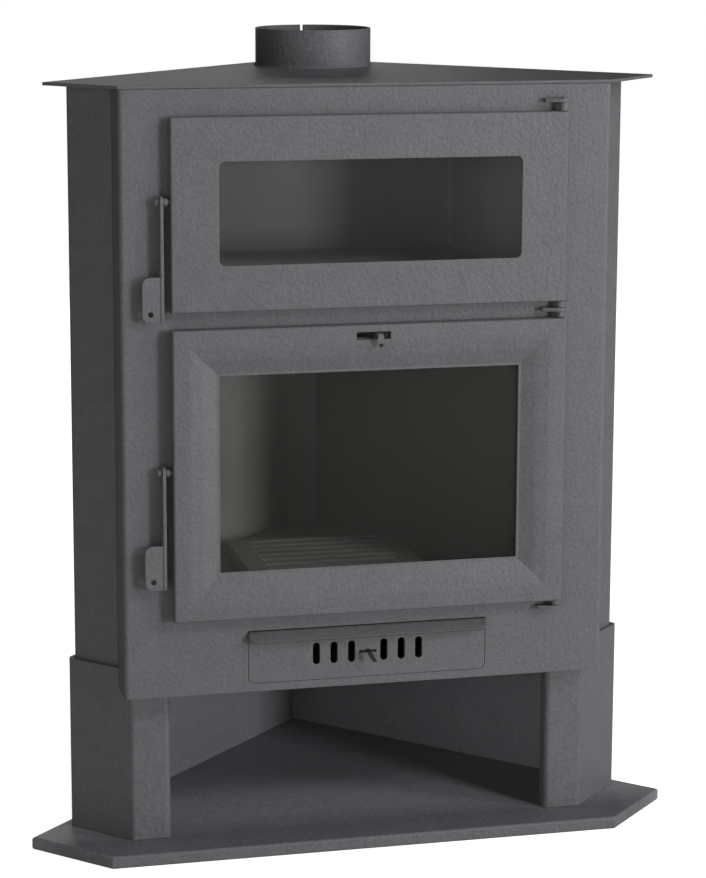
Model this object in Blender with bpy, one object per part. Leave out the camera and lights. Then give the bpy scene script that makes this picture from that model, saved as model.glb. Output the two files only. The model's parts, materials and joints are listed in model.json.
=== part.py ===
# Corner wood stove with an oven over the firebox and an open log store below.
# Metres, +Z up. The origin is on the floor below the middle of the front plate's face.

import math

import bmesh
import bpy
from mathutils import Matrix, Vector

# Gaps
fit_gap = 0.0003
running_gap = 0.00025
cut_reach = 0.01
weld_distance = 0.000001
same_place = 0.00001
smooth_angle = 32.0

# Body in plan: rear walls at 45 degrees meet in the room's corner
body_depth = 0.456
front_half_width = 0.301
front_return_depth = 0.056
front_sheet = 0.004
front_bend = 0.003
shell_sheet = 0.004
shell_bend = 0.003
body_bottom = 0.208
body_top = 0.943
shell_overlap = 0.011

# Log store
casing_sheet = 0.005
casing_bend = 0.0025
casing_top = 0.234
post_face_y = 0.0345
post_width = 0.047
post_return = 0.020

# Base plate
base_height = 0.016
base_sheet = 0.003
base_front_overhang = 0.015
base_side_line = 0.335
base_rear_overhang = 0.026
base_hem = 0.028

# Top plate and flue collar
top_sheet = 0.004
top_front_overhang = 0.001
top_rear_overhang = 0.001
flue_radius = 0.075
flue_wall = 0.003
flue_height = 0.048
flue_back_gap = 0.131
flue_seam = 0.0035

# Doors
door_half_width = 0.242
door_sheet = 0.0025
door_back_gap = 0.003
door_edge_bend = 0.0015
oven_frame_end = 0.031
oven_door_low = 0.680
oven_door_high = 0.911
oven_door_thickness = 0.012
oven_window_margin = 0.0574
oven_window_low_margin = 0.0553
oven_window_high_margin = 0.0527
oven_window_corner = 0.007
fire_door_low = 0.305
fire_door_high = 0.660
fire_door_thickness = 0.016
fire_band = 0.027
fire_bevel = 0.027
fire_bevel_drop = 0.0095
fire_lip = 0.0034
band_softness = 0.003
fire_frame_depth = 0.0058
fire_frame_gap = 0.0005
mouth_half_width = 0.203
mouth_corner = 0.010
fire_mouth_margin = 0.031

# Glass and seals
glass_thickness = 0.004
glass_overlap = 0.010
tape_width = 0.008
tape_thickness = 0.001
rear_frame_inset = 0.016
rear_frame_sheet = 0.003
rope_inset = 0.0213
rope_corner = 0.012
clip_sheet = 0.0015
clip_bend = 0.0006
clip_width = 0.018
clip_x = 0.11
clip_inset = 0.0268
clip_step = 0.0065
clip_clearance = 0.0020
clip_hold = 0.0060
clip_skin_gap = 0.00036

# Hinges
hinge_x = 0.2364
hinge_y = -0.0095
hinge_pin_radius = 0.0027
hinge_collar_radius = 0.005
hinge_pin_entry = 0.010
bracket_thickness = 0.0042
bracket_reach = 0.029
bracket_nose = 0.0065
bracket_taper = 0.008
bracket_lift = 0.011
bracket_foot_gap = 0.007
hinge_pin_stick_out = 0.0015

# Handles
handle_sheet = 0.004
handle_width = 0.014
handle_gap = 0.0085
handle_drop = 0.142
tab_height = 0.054
tab_width = 0.026
tab_corner = 0.009
tab_hole_radius = 0.00325
tab_hole_rise = 0.010
tab_setback = 0.001
latch_radius = 0.003
latch_head_radius = 0.004
latch_head_length = 0.0055
latch_head_edge = 0.0008
latch_boss_radius = 0.005
latch_boss_length = 0.005
latch_entry = 0.011
latch_collar_radius = 0.0042
latch_collar_length = 0.003
latch_collar_play = 0.0005
oven_latch_drop = 0.099
fire_latch_drop = 0.1715

# Oven
oven_floor = 0.716
oven_ceiling = 0.882
oven_back_gap = 0.221
oven_back_half_width = 0.164
oven_sheet = 0.003

# Firebox
hearth_top = 0.318
hearth_thickness = 0.012
ledge_leg = 0.020
ledge_sheet = 0.003
ledge_front_gap = 0.010
ledge_back_gap = 0.012
liner_stand_off = 0.040
liner_thickness = 0.010
liner_top = 0.640
liner_back_cut = 0.020
liner_back_half_width = 0.040
liner_side_gap = 0.004
baffle_thickness = 0.006
baffle_front_gap = 0.016
baffle_throat_gap = 0.096
baffle_side_gap = 0.008
baffle_rest_gap = 0.001
grate_half_width = 0.1125
grate_shift = -0.018
grate_liner_gap = 0.0565
grate_depth = 0.167
grate_thickness = 0.0165
grate_slot_length = 0.172
grate_slot_width = 0.011
grate_slot_pitch = 0.0226
grate_slots = 7
grate_seat = 0.010
grate_edge = 0.002

# Ash drawer
drawer_half_width = 0.149
drawer_low = 0.2185
drawer_high = 0.284
drawer_sheet = 0.003
drawer_corner = 0.007
drawer_gap = 0.0012
drawer_bend = 0.0012
lip_flat = 0.003
lip_length = 0.0152
lip_corner = 0.008
tray_sheet = 0.002
tray_back_gap = 0.194
tray_side_gap = 0.006
tray_height = 0.043
tray_lift = 0.0005
runner_width = 0.015
runner_rise = 0.018
runner_side_gap = 0.0005
runner_end_gap = 0.010
ash_floor_sheet = 0.004

# Air controls
air_slot_width = 0.009
air_slot_height = 0.0275
air_slot_low = 0.2375
air_slot_first = 0.0203
air_slot_pitch = 0.0221
air_slots_each_side = 3
slide_sheet = 0.002
slide_margin = 0.006
slide_bend = 0.001
slide_window_inset = 0.0005
tab_root = 0.0006
tab_rake = 0.3
guide_wall = 0.0015
guide_hold = 0.003
guide_end_gap = 0.004
primary_neck_width = 0.005
primary_neck_gap = 0.0006
primary_travel = 0.008
primary_neck_z = 0.2502
primary_tab_reach = 0.012
primary_tab_drop = 0.011
second_slot_low_x = -0.0197
second_slot_high_x = 0.0219
second_slot_low_z = 0.6424
second_slot_height = 0.009
second_slide_low_x = -0.032
second_slide_high_x = 0.048
second_slide_margin = 0.004
second_recess_gap = 0.002
second_window_gap = 0.0025
second_tab_x = 0.0077
second_tab_width = 0.008
second_tab_reach = 0.012
second_tab_drop = 0.014
second_travel_left = 0.022
second_travel_right = 0.009

x_axis = Vector((1.0, 0.0, 0.0))
y_axis = Vector((0.0, 1.0, 0.0))
z_axis = Vector((0.0, 0.0, 1.0))
root_two = math.sqrt(2.0)

# Lines that several pieces share, each in the plan's own terms:
# a rear wall is the line x + y = depth, a side wall is the line x - y = offset.
side_offset = front_half_width - front_return_depth
shell_inner_depth = body_depth - (shell_sheet + fit_gap) * root_two
shell_inner_offset = side_offset - (shell_sheet + fit_gap) * root_two
casing_depth = body_depth + (casing_sheet + fit_gap) * root_two
casing_offset = side_offset + (casing_sheet + fit_gap) * root_two
pan_inner_half_width = front_half_width - front_sheet - fit_gap
pan_inner_y = front_sheet + fit_gap
door_back = -door_back_gap
oven_door_front = door_back - oven_door_thickness
fire_door_front = door_back - fire_door_thickness
ash_floor_top = body_bottom + ash_floor_sheet
top_plate_low = body_top + fit_gap
top_plate_high = top_plate_low + top_sheet
flue_y = body_depth - flue_back_gap
oven_depth = body_depth - oven_back_gap
liner_face_depth = body_depth - liner_stand_off
liner_back_y = liner_face_depth - liner_back_cut
baffle_throat_y = liner_face_depth - baffle_throat_gap
grate_front_y = liner_face_depth - grate_liner_gap - grate_half_width - grate_depth
tray_depth = body_depth - tray_back_gap


def remove_everything():
    for item in list(bpy.data.objects):
        bpy.data.objects.remove(item, do_unlink=True)


def make_material(name, colour, roughness, metallic, alpha=1.0):
    material = bpy.data.materials.new(name)
    material.use_nodes = True
    surface = material.node_tree.nodes["Principled BSDF"]
    surface.inputs["Base Color"].default_value = (*colour, 1.0)
    surface.inputs["Roughness"].default_value = roughness
    surface.inputs["Metallic"].default_value = metallic
    surface.inputs["Alpha"].default_value = alpha
    return material


def make_object(name, mesh_data, material, smooth=False):
    bmesh.ops.remove_doubles(mesh_data, verts=mesh_data.verts, dist=weld_distance)
    bmesh.ops.recalc_face_normals(mesh_data, faces=mesh_data.faces)
    mesh = bpy.data.meshes.new(name)
    mesh_data.to_mesh(mesh)
    mesh_data.free()
    item = bpy.data.objects.new(name, mesh)
    bpy.context.scene.collection.objects.link(item)
    if material:
        mesh.materials.append(material)
    if smooth:
        mesh.shade_smooth()
        mesh.set_sharp_from_angle(angle=math.radians(smooth_angle))
    return item


def make_cutter(name, mesh_data):
    cutter = make_object(name, mesh_data, None)
    cutter.hide_render = True
    cutter.display_type = "WIRE"
    return cutter


def boolean(item, cutter, operation="DIFFERENCE"):
    step = item.modifiers.new(cutter.name, "BOOLEAN")
    step.operation = operation
    step.solver = "EXACT"
    step.object = cutter
    return item


def make_pivot(name, place):
    pivot = bpy.data.objects.new(name, None)
    pivot.empty_display_size = 0.03
    pivot.location = place
    bpy.context.scene.collection.objects.link(pivot)
    return pivot


def attach(items, pivot):
    # The pieces keep their places and turn or slide with the pivot.
    for item in items:
        item.parent = pivot
        item.matrix_parent_inverse = Matrix.Translation(-Vector(pivot.location))


def prism(points, origin, across, up, along):
    # A flat outline, drawn in the directions across and up, extruded by the vector along.
    mesh_data = bmesh.new()
    corners = [mesh_data.verts.new(origin + across * a + up * b) for a, b in points]
    face = mesh_data.faces.new(corners)
    grown = bmesh.ops.extrude_face_region(mesh_data, geom=[face])
    moved = [part for part in grown["geom"] if isinstance(part, bmesh.types.BMVert)]
    bmesh.ops.translate(mesh_data, verts=moved, vec=along)
    return mesh_data


def plate(points, low, high):
    return prism(points, z_axis * low, x_axis, y_axis, z_axis * (high - low))


def panel(points, front, back):
    # The outline is in x and z, extruded from the front plane to the back plane.
    return prism(points, y_axis * front, x_axis, z_axis, y_axis * (back - front))


def section(points, left, right):
    # The outline is in y and z, extruded from left to right.
    return prism(points, x_axis * left, y_axis, z_axis, x_axis * (right - left))


def join(*parts):
    # Several closed shapes as one cutter.
    mesh_data = bmesh.new()
    for part in parts:
        mesh = bpy.data.meshes.new("part")
        part.to_mesh(mesh)
        part.free()
        mesh_data.from_mesh(mesh)
        bpy.data.meshes.remove(mesh)
    return mesh_data


def rectangle(left, right, low, high):
    return [(left, low), (right, low), (right, high), (left, high)]


def arc_points(centre, radius, start, turn, steps):
    points = []
    for step in range(steps + 1):
        angle = start + turn * step / steps
        points.append((centre[0] + radius * math.cos(angle), centre[1] + radius * math.sin(angle)))
    return points


def circle(centre, radius, sides):
    return arc_points(centre, radius, 0.0, math.tau * (sides - 1) / sides, sides - 1)


def rounded_rectangle(left, right, low, high, radius, steps=5):
    quarter = math.pi / 2
    points = arc_points((right - radius, low + radius), radius, -quarter, quarter, steps)
    points += arc_points((right - radius, high - radius), radius, 0.0, quarter, steps)
    points += arc_points((left + radius, high - radius), radius, quarter, quarter, steps)
    points += arc_points((left + radius, low + radius), radius, 2 * quarter, quarter, steps)
    return points


def slot_outline(centre_x, low, high, width, steps=5):
    radius = width / 2
    points = arc_points((centre_x, high - radius), radius, 0.0, math.pi, steps)
    points += arc_points((centre_x, low + radius), radius, math.pi, math.pi, steps)
    return points


def folded(line, thickness, inner_radius, steps=4):
    # The outline of a folded sheet: the given line is one face, the sheet lies to its right,
    # and every corner of the line is a round bend.
    face = []
    other = []
    spots = [Vector(point) for point in line]
    count = len(spots)
    for index, spot in enumerate(spots):
        before = (spot - spots[index - 1]).normalized() if index else None
        after = (spots[index + 1] - spot).normalized() if index < count - 1 else None
        if before is None or after is None:
            heading = after if before is None else before
            inward = Vector((heading.y, -heading.x))
            face.append(tuple(spot))
            other.append(tuple(spot + inward * thickness))
            continue
        turn = math.atan2(before.x * after.y - before.y * after.x, before.dot(after))
        inward = Vector((before.y, -before.x))
        toward_sheet = turn < 0
        face_radius = inner_radius + thickness if toward_sheet else inner_radius
        other_radius = inner_radius if toward_sheet else inner_radius + thickness
        side = 1.0 if toward_sheet else -1.0
        start = spot - before * face_radius * math.tan(abs(turn) / 2)
        centre = start + inward * side * face_radius
        spoke = -inward * side
        for step in range(steps + 1):
            turned = Matrix.Rotation(turn * step / steps, 2) @ spoke
            face.append(tuple(centre + turned * face_radius))
            other.append(tuple(centre + turned * other_radius))
    return face + other[::-1]


def corner_plan(front_y, front_half, offset, depth):
    # Five sides: front edge, two sides at 45 degrees, two rear edges at 45 degrees.
    tip = ((depth + offset) / 2, (depth - offset) / 2)
    return [(-front_half, front_y), (front_half, front_y), tip, (0.0, depth), (-tip[0], tip[1])]


def inner_plan(clearance=0.0):
    # What fits inside the front plate's returns and the walls behind them.
    depth = shell_inner_depth - clearance * root_two
    offset = shell_inner_offset - clearance * root_two
    half = pan_inner_half_width - clearance
    front = pan_inner_y + clearance
    tip = ((depth + offset) / 2, (depth - offset) / 2)
    leg = shell_bend + fit_gap
    slant = leg / root_two
    right = [
        (half - leg, front), (half, front + leg), (half, half - offset),
        (tip[0] - slant, tip[1] - slant), (tip[0] - slant, tip[1] + slant), (slant, depth - slant),
    ]
    return right + [(-x, y) for x, y in right[::-1]]


def ring_loop(mesh_data, half_width, low, high, inset, y):
    half = half_width - inset
    return [
        mesh_data.verts.new((-half, y, low + inset)),
        mesh_data.verts.new((half, y, low + inset)),
        mesh_data.verts.new((half, y, high - inset)),
        mesh_data.verts.new((-half, y, high - inset)),
    ]


def link_loops(mesh_data, first, second):
    count = len(first)
    for index in range(count):
        following = (index + 1) % count
        mesh_data.faces.new((first[index], first[following], second[following], second[index]))


def mitred_frame(profile, half_width, low, high):
    # A closed section, given as inset and depth, carried round a rectangle with mitred corners.
    mesh_data = bmesh.new()
    loops = [ring_loop(mesh_data, half_width, low, high, inset, y) for inset, y in profile]
    for index, loop in enumerate(loops):
        link_loops(mesh_data, loop, loops[(index + 1) % len(loops)])
    return mesh_data


def pressed_pan(outer, inner, half_width, low, high):
    # An open pan: the outer section runs from rim to face, the inner one from face to rim.
    mesh_data = bmesh.new()
    loops = [ring_loop(mesh_data, half_width, low, high, inset, y) for inset, y in outer + inner]
    for first, second in zip(loops[: len(outer)], loops[1 : len(outer)]):
        link_loops(mesh_data, first, second)
    for first, second in zip(loops[len(outer) :], loops[len(outer) + 1 :]):
        link_loops(mesh_data, first, second)
    link_loops(mesh_data, loops[0], loops[-1])
    mesh_data.faces.new(loops[len(outer) - 1])
    mesh_data.faces.new(loops[len(outer)])
    return mesh_data


def turned(profile, centre, axis, sides=20):
    # A closed turned piece: the profile gives distance along the axis and radius, ends on the axis.
    mesh_data = bmesh.new()
    side = axis.orthogonal().normalized()
    verts = [mesh_data.verts.new(centre + axis * along + side * radius) for along, radius in profile]
    edges = [mesh_data.edges.new(pair) for pair in zip(verts, verts[1:])]
    bmesh.ops.spin(
        mesh_data, geom=verts + edges, cent=centre, axis=axis,
        angle=math.tau, steps=sides, use_merge=True,
    )
    bmesh.ops.remove_doubles(mesh_data, verts=mesh_data.verts, dist=weld_distance)
    return mesh_data


def rope_loop(half_width, low, high, corner, y, radius, sides=8, steps=4):
    # A round rope laid in a rounded rectangle.
    path = rounded_rectangle(-half_width, half_width, low, high, corner, steps)
    mesh_data = bmesh.new()
    rings = []
    count = len(path)
    for index in range(count):
        here = Vector(path[index])
        ahead = Vector(path[(index + 1) % count])
        behind = Vector(path[index - 1])
        heading = (ahead - behind).normalized()
        outward = Vector((heading.y, -heading.x))
        ring = []
        for side in range(sides):
            angle = math.tau * (side + 0.5) / sides
            out = outward * radius * math.cos(angle)
            depth = y + radius * math.sin(angle)
            ring.append(mesh_data.verts.new((here.x + out.x, depth, here.y + out.y)))
        rings.append(ring)
    for index, ring in enumerate(rings):
        link_loops(mesh_data, ring, rings[(index + 1) % count])
    return mesh_data


def long_edges(mesh_data, test):
    return [edge for edge in mesh_data.edges if all(test(vert.co) for vert in edge.verts)]


def near(value, target):
    return abs(value - target) < same_place


# Base, log store and body


def build_base_plate(paint):
    depth = body_depth + base_rear_overhang
    mesh_data = bmesh.new()
    rings = []
    levels = [
        (0.0, base_height), (0.0, 0.0), (base_hem, 0.0), (base_hem, base_sheet),
        (base_sheet, base_sheet), (base_sheet, base_height - base_sheet),
    ]
    for inset, z in levels:
        offset = base_side_line - inset * root_two
        front = -base_front_overhang + inset
        plan = corner_plan(front, offset + front, offset, depth - inset * root_two)
        rings.append([mesh_data.verts.new((x, y, z)) for x, y in plan])
    for first, second in zip(rings, rings[1:]):
        link_loops(mesh_data, first, second)
    mesh_data.faces.new(rings[0])
    mesh_data.faces.new(rings[-1])
    return make_object("base_plate", mesh_data, paint)


def build_log_store_casing(paint):
    tip = ((casing_depth + casing_offset) / 2, (casing_depth - casing_offset) / 2)
    corner = (post_face_y + casing_offset, post_face_y)
    inner = corner[0] - post_width
    right = [(inner, post_face_y + post_return), (inner, post_face_y), corner, tip]
    left = [(-x, y) for x, y in right]
    line = left + [(0.0, casing_depth)] + right[::-1]
    outline = folded(line, casing_sheet, casing_bend)
    casing = make_object("log_store_casing", plate(outline, base_height + fit_gap, casing_top), paint, True)
    pan_edge = front_half_width + fit_gap
    pan_back = front_return_depth + fit_gap
    post_edge = front_half_width - post_return
    post_back = post_face_y + post_return + casing_sheet
    right = [(pan_edge, -cut_reach), (pan_edge, pan_back), (post_edge, pan_back), (post_edge, post_back)]
    below_body = right + [(-x, y) for x, y in right[::-1]]
    cutter = make_cutter("cut_below_body", plate(below_body, body_bottom - fit_gap, casing_top + cut_reach))
    return boolean(casing, cutter)


def build_body_shell(paint):
    start_x = front_half_width + fit_gap
    start = (start_x, start_x - side_offset)
    tip = ((body_depth + side_offset) / 2, (body_depth - side_offset) / 2)
    line = [(-start[0], start[1]), (-tip[0], tip[1]), (0.0, body_depth), tip, start]
    outline = folded(line, shell_sheet, shell_bend)
    return make_object("body_shell", plate(outline, body_bottom - shell_overlap, body_top), paint, True)


def build_front_plate(paint):
    half = front_half_width
    line = [(half, front_return_depth), (half, 0.0), (-half, 0.0), (-half, front_return_depth)]
    outline = folded(line, front_sheet, front_bend)
    plate_item = make_object("front_plate", plate(outline, body_bottom, body_top), paint, True)
    mouth = mouth_half_width
    oven_mouth = rounded_rectangle(
        -mouth, mouth, oven_floor - oven_sheet / 2, oven_ceiling + oven_sheet / 2, mouth_corner
    )
    fire_mouth = rounded_rectangle(
        -mouth, mouth, fire_door_low + fire_mouth_margin, fire_door_high - fire_mouth_margin, mouth_corner
    )
    drawer_edge = drawer_half_width + drawer_gap
    corner = drawer_corner + drawer_gap
    foot = drawer_low - drawer_gap
    head = drawer_high + drawer_gap
    drawer_mouth = [(drawer_edge, head), (-drawer_edge, head)]
    drawer_mouth += arc_points((corner - drawer_edge, foot + corner), corner, math.pi, math.pi / 2, 5)
    drawer_mouth += arc_points((drawer_edge - corner, foot + corner), corner, -math.pi / 2, math.pi / 2, 5)
    outlines = [oven_mouth, fire_mouth, drawer_mouth]
    cutter = make_cutter(
        "cut_front_mouths", join(*[panel(points, -cut_reach, front_sheet + cut_reach) for points in outlines])
    )
    return boolean(plate_item, cutter)


def build_ash_floor(paint):
    return make_object("ash_floor", plate(inner_plan(), body_bottom, ash_floor_top), paint)


def build_top_plate(paint):
    front = -top_front_overhang
    plan = corner_plan(front, front_half_width, front_half_width - front, body_depth + top_rear_overhang)
    item = make_object("top_plate", plate(plan, top_plate_low, top_plate_high), paint)
    radius = flue_radius - flue_wall
    hole = plate(circle((0.0, flue_y), radius, 48), body_top - cut_reach, top_plate_high + cut_reach)
    return boolean(item, make_cutter("cut_flue_hole", hole))


def build_flue_collar(paint):
    inner = flue_radius - flue_wall
    half_seam = math.asin(flue_seam / 2 / flue_radius)
    start = math.pi / 2 + half_seam
    turn = math.tau - 2 * half_seam
    outline = arc_points((0.0, flue_y), flue_radius, start, turn, 56)
    outline += arc_points((0.0, flue_y), inner, start + turn, -turn, 56)
    low = top_plate_high + fit_gap
    return make_object("flue_collar", plate(outline, low, low + flue_height), paint, True)


# Firebox and oven


def build_hearth_ledge(name, side, steel):
    # An angle along a rear wall, running at 45 degrees.
    leg = ledge_leg
    profile = [
        (0.0, 0.0), (0.0, leg), (-leg, leg), (-leg, leg - ledge_sheet),
        (-ledge_sheet, leg - ledge_sheet), (-ledge_sheet, 0.0),
    ]
    wall_out = Vector((side, 1.0, 0.0)).normalized()
    along = Vector((-side, 1.0, 0.0)).normalized()
    tip = Vector((side * (shell_inner_depth + shell_inner_offset) / 2,
                  (shell_inner_depth - shell_inner_offset) / 2, 0.0))
    start = tip + along * ledge_front_gap
    length = (Vector((0.0, shell_inner_depth, 0.0)) - tip).length - leg - ledge_back_gap
    start.z = hearth_top - hearth_thickness - fit_gap - leg
    return make_object(name, prism(profile, start, wall_out, z_axis, along * length), steel)


def build_hearth_slab(iron):
    low = hearth_top - hearth_thickness
    slab = make_object("hearth_slab", plate(inner_plan(fit_gap), low, hearth_top), iron)
    half = grate_half_width - grate_seat
    front = grate_front_y + grate_seat
    back = grate_front_y + grate_depth - grate_seat
    outline = rectangle(grate_shift - half, grate_shift + half, front, back)
    return boolean(slab, make_cutter("cut_ash_hole", plate(outline, low - cut_reach, hearth_top + cut_reach)))


def build_fire_grate(iron):
    low = hearth_top + fit_gap
    back = grate_front_y + grate_depth
    left = grate_shift - grate_half_width
    right = grate_shift + grate_half_width
    body = plate(rectangle(left, right, grate_front_y, back), low, low + grate_thickness)
    top = low + grate_thickness
    bmesh.ops.bevel(
        body, geom=long_edges(body, lambda spot: near(spot.z, top)),
        offset=grate_edge, segments=2, profile=0.5, affect="EDGES", clamp_overlap=True,
    )
    grate = make_object("fire_grate", body, iron)
    middle = grate_front_y + grate_depth / 2
    first = middle - grate_slot_pitch * (grate_slots - 1) / 2
    half = grate_slot_length / 2
    slots = []
    for index in range(grate_slots):
        y = first + grate_slot_pitch * index
        ends = slot_outline(y, grate_shift - half, grate_shift + half, grate_slot_width, 4)
        slots.append(plate([(x, across) for across, x in ends], low - cut_reach, top + cut_reach))
    return boolean(grate, make_cutter("cut_grate_slots", join(*slots)))


def build_liner(name, side, iron):
    # A cast plate that stands on the slab along a rear wall.
    outer_depth = liner_face_depth + liner_thickness * root_two
    offset = shell_inner_offset - liner_side_gap
    end_y = liner_back_y - fit_gap
    plan = [
        ((outer_depth + offset) / 2, (outer_depth - offset) / 2),
        (outer_depth - end_y, end_y),
        (liner_face_depth - end_y, end_y),
        ((liner_face_depth + offset) / 2, (liner_face_depth - offset) / 2),
    ]
    plan = [(side * x, y) for x, y in plan]
    return make_object(name, plate(plan, hearth_top + fit_gap, liner_top), iron)


def build_liner_back(iron):
    plan = rectangle(
        -liner_back_half_width, liner_back_half_width, liner_back_y, liner_back_y + liner_thickness
    )
    return make_object("liner_back", plate(plan, hearth_top + fit_gap, liner_top), iron)


def build_baffle_plate(iron):
    depth = liner_face_depth + liner_thickness * root_two - baffle_rest_gap
    offset = shell_inner_offset - baffle_side_gap
    front = front_sheet + baffle_front_gap
    half = front_half_width - front_sheet - baffle_front_gap
    tip = ((depth + offset) / 2, (depth - offset) / 2)
    throat = depth - baffle_throat_y
    right = [(half, front), (half, half - offset), tip, (throat, baffle_throat_y)]
    plan = right + [(-x, y) for x, y in right[::-1]]
    low = liner_top + fit_gap
    return make_object("baffle_plate", plate(plan, low, low + baffle_thickness), iron)


def build_oven_box(paint):
    front = pan_inner_y
    outer = [
        (-mouth_half_width - oven_sheet, front), (mouth_half_width + oven_sheet, front),
        (oven_back_half_width + oven_sheet, oven_depth + oven_sheet),
        (-oven_back_half_width - oven_sheet, oven_depth + oven_sheet),
    ]
    box = make_object("oven_box", plate(outer, oven_floor - oven_sheet, oven_ceiling + oven_sheet), paint)
    slope = (mouth_half_width - oven_back_half_width) / (oven_depth - front)
    reach = mouth_half_width + slope * cut_reach
    inner = [
        (-reach, front - cut_reach), (reach, front - cut_reach),
        (oven_back_half_width, oven_depth), (-oven_back_half_width, oven_depth),
    ]
    return boolean(box, make_cutter("cut_oven_space", plate(inner, oven_floor, oven_ceiling)))


# Hinges


def build_hinge_bracket(name, low, paint):
    # A flat plate on the front, round at its nose, with the pin's hole.
    radius = bracket_nose
    back = -fit_gap
    left = hinge_x + radius - bracket_reach
    outline = [(left, back), (left, hinge_y), (hinge_x - bracket_taper, hinge_y - radius)]
    outline += arc_points((hinge_x, hinge_y), radius, -math.pi / 2, math.pi / 2, 5)
    outline += [(hinge_x + radius, back)]
    item = make_object(name, plate(outline, low, low + bracket_thickness), paint)
    hole = circle((hinge_x, hinge_y), hinge_pin_radius + fit_gap, 16)
    cutter = plate(hole, low - cut_reach, low + bracket_thickness + cut_reach)
    return boolean(item, make_cutter("cut_" + name, cutter))


def pin_profile(collars, low, high):
    # Height and radius up the pin, with a wider collar over each given stretch.
    profile = [(low, 0.0), (low, hinge_pin_radius)]
    for start, end in collars:
        profile += [(start, hinge_pin_radius), (start, hinge_collar_radius)]
        profile += [(end, hinge_collar_radius), (end, hinge_pin_radius)]
    return profile + [(high, hinge_pin_radius), (high, 0.0)]


def build_hinge_pin(name, collars, low, high, paint):
    centre = Vector((hinge_x, hinge_y, 0.0))
    return make_object(name, turned(pin_profile(collars, low, high), centre, z_axis, 16), paint, True)


def build_hinges(paint):
    gap = fit_gap
    top_low = oven_door_high + bracket_lift
    middle = (fire_door_high + oven_door_low) / 2
    middle_low = middle - bracket_thickness / 2
    bottom_low = fire_door_low - bracket_foot_gap - bracket_thickness
    build_hinge_bracket("hinge_bracket_top", top_low, paint)
    build_hinge_bracket("hinge_bracket_middle", middle_low, paint)
    build_hinge_bracket("hinge_bracket_bottom", bottom_low, paint)
    build_hinge_pin(
        "hinge_pin_top", [(oven_door_high + gap, top_low - gap)],
        oven_door_high - hinge_pin_entry, top_low + bracket_thickness + hinge_pin_stick_out, paint,
    )
    build_hinge_pin(
        "hinge_pin_middle",
        [(fire_door_high + gap, middle_low - gap), (middle_low + bracket_thickness + gap, oven_door_low - gap)],
        fire_door_high - hinge_pin_entry, oven_door_low + hinge_pin_entry, paint,
    )
    build_hinge_pin(
        "hinge_pin_bottom", [(bottom_low + bracket_thickness + gap, fire_door_low - gap)],
        bottom_low - hinge_pin_stick_out, fire_door_low + hinge_pin_entry, paint,
    )


def cut_hinge_holes(item, name, low, high):
    outline = circle((hinge_x, hinge_y), hinge_pin_radius + running_gap, 20)
    holes = join(
        plate(outline, low - cut_reach, low + cut_reach),
        plate(outline, high - cut_reach, high + cut_reach),
    )
    return boolean(item, make_cutter("cut_" + name + "_hinge", holes))


def cut_latch_hole(item, name, y, z):
    outline = circle((y, z), latch_radius + running_gap, 20)
    hole = section(outline, -door_half_width - cut_reach, -door_half_width + cut_reach)
    return boolean(item, make_cutter("cut_" + name + "_latch", hole))


# Doors


def edge_bend(front, radius, steps=3):
    # The outer edge of a pressed door face, as inset and depth from rim to face.
    points = []
    for step in range(steps + 1):
        angle = math.pi / 2 * step / steps
        points.append((radius * (1 - math.cos(angle)), front + radius * (1 - math.sin(angle))))
    return points


def build_oven_door(paint, steel, glass, rope, latch_y, latch_z):
    low = oven_door_low
    high = oven_door_high
    half = door_half_width
    front = oven_door_front
    face_back = front + door_sheet
    outer = [(0.0, door_back)] + edge_bend(front, door_edge_bend)
    inner = [(door_sheet, face_back), (door_sheet, door_back)]
    skin = make_object("oven_door_skin", pressed_pan(outer, inner, half, low, high), paint)
    margin = oven_window_margin
    window_low = low + oven_window_low_margin
    window_high = high - oven_window_high_margin
    window = rounded_rectangle(margin - half, half - margin, window_low, window_high, oven_window_corner)
    boolean(skin, make_cutter("cut_oven_window", panel(window, front - cut_reach, face_back + cut_reach)))
    cut_hinge_holes(skin, "oven_door", low, high)
    cut_latch_hole(skin, "oven_door", latch_y, latch_z)
    pieces = [skin]
    tape_front = face_back + fit_gap
    glass_front = tape_front + tape_thickness + fit_gap
    glass_back = glass_front + glass_thickness
    glass_half = half - margin + glass_overlap
    glass_low = window_low - glass_overlap
    glass_high = window_high + glass_overlap
    pieces += build_glass("oven", glass, rope, glass_half, glass_low, glass_high, tape_front, glass_front)
    frame_front = face_back + fit_gap
    frame_back = frame_front + rear_frame_sheet
    profile = [
        (rear_frame_inset, frame_front), (oven_frame_end, frame_front),
        (oven_frame_end, frame_back), (rear_frame_inset, frame_back),
    ]
    frame = mitred_frame(profile, half, low, high)
    pieces.append(make_object("oven_door_rear_frame", frame, steel))
    pieces.append(build_rope("oven_door_rope", rope, low, high, frame_back))
    lines = []
    for window_margin in (oven_window_low_margin, oven_window_high_margin):
        pane_inset = window_margin - glass_overlap
        lines.append([
            (clip_inset, frame_back + fit_gap),
            (pane_inset - clip_step, frame_back + fit_gap),
            (pane_inset - clip_clearance, glass_back + fit_gap),
            (pane_inset + clip_hold, glass_back + fit_gap),
        ])
    pieces += build_clips("oven_glass_clip", steel, lines, low, high)
    return pieces


def build_glass(name, glass, rope, half, low, high, tape_front, glass_front):
    pane = panel(rectangle(-half, half, low, high), glass_front, glass_front + glass_thickness)
    pane_item = make_object(name + "_door_glass", pane, glass)
    tape_profile = [
        (0.0, tape_front), (tape_width, tape_front),
        (tape_width, tape_front + tape_thickness), (0.0, tape_front + tape_thickness),
    ]
    tape_item = make_object(name + "_glass_tape", mitred_frame(tape_profile, half, low, high), rope)
    return [pane_item, tape_item]


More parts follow.
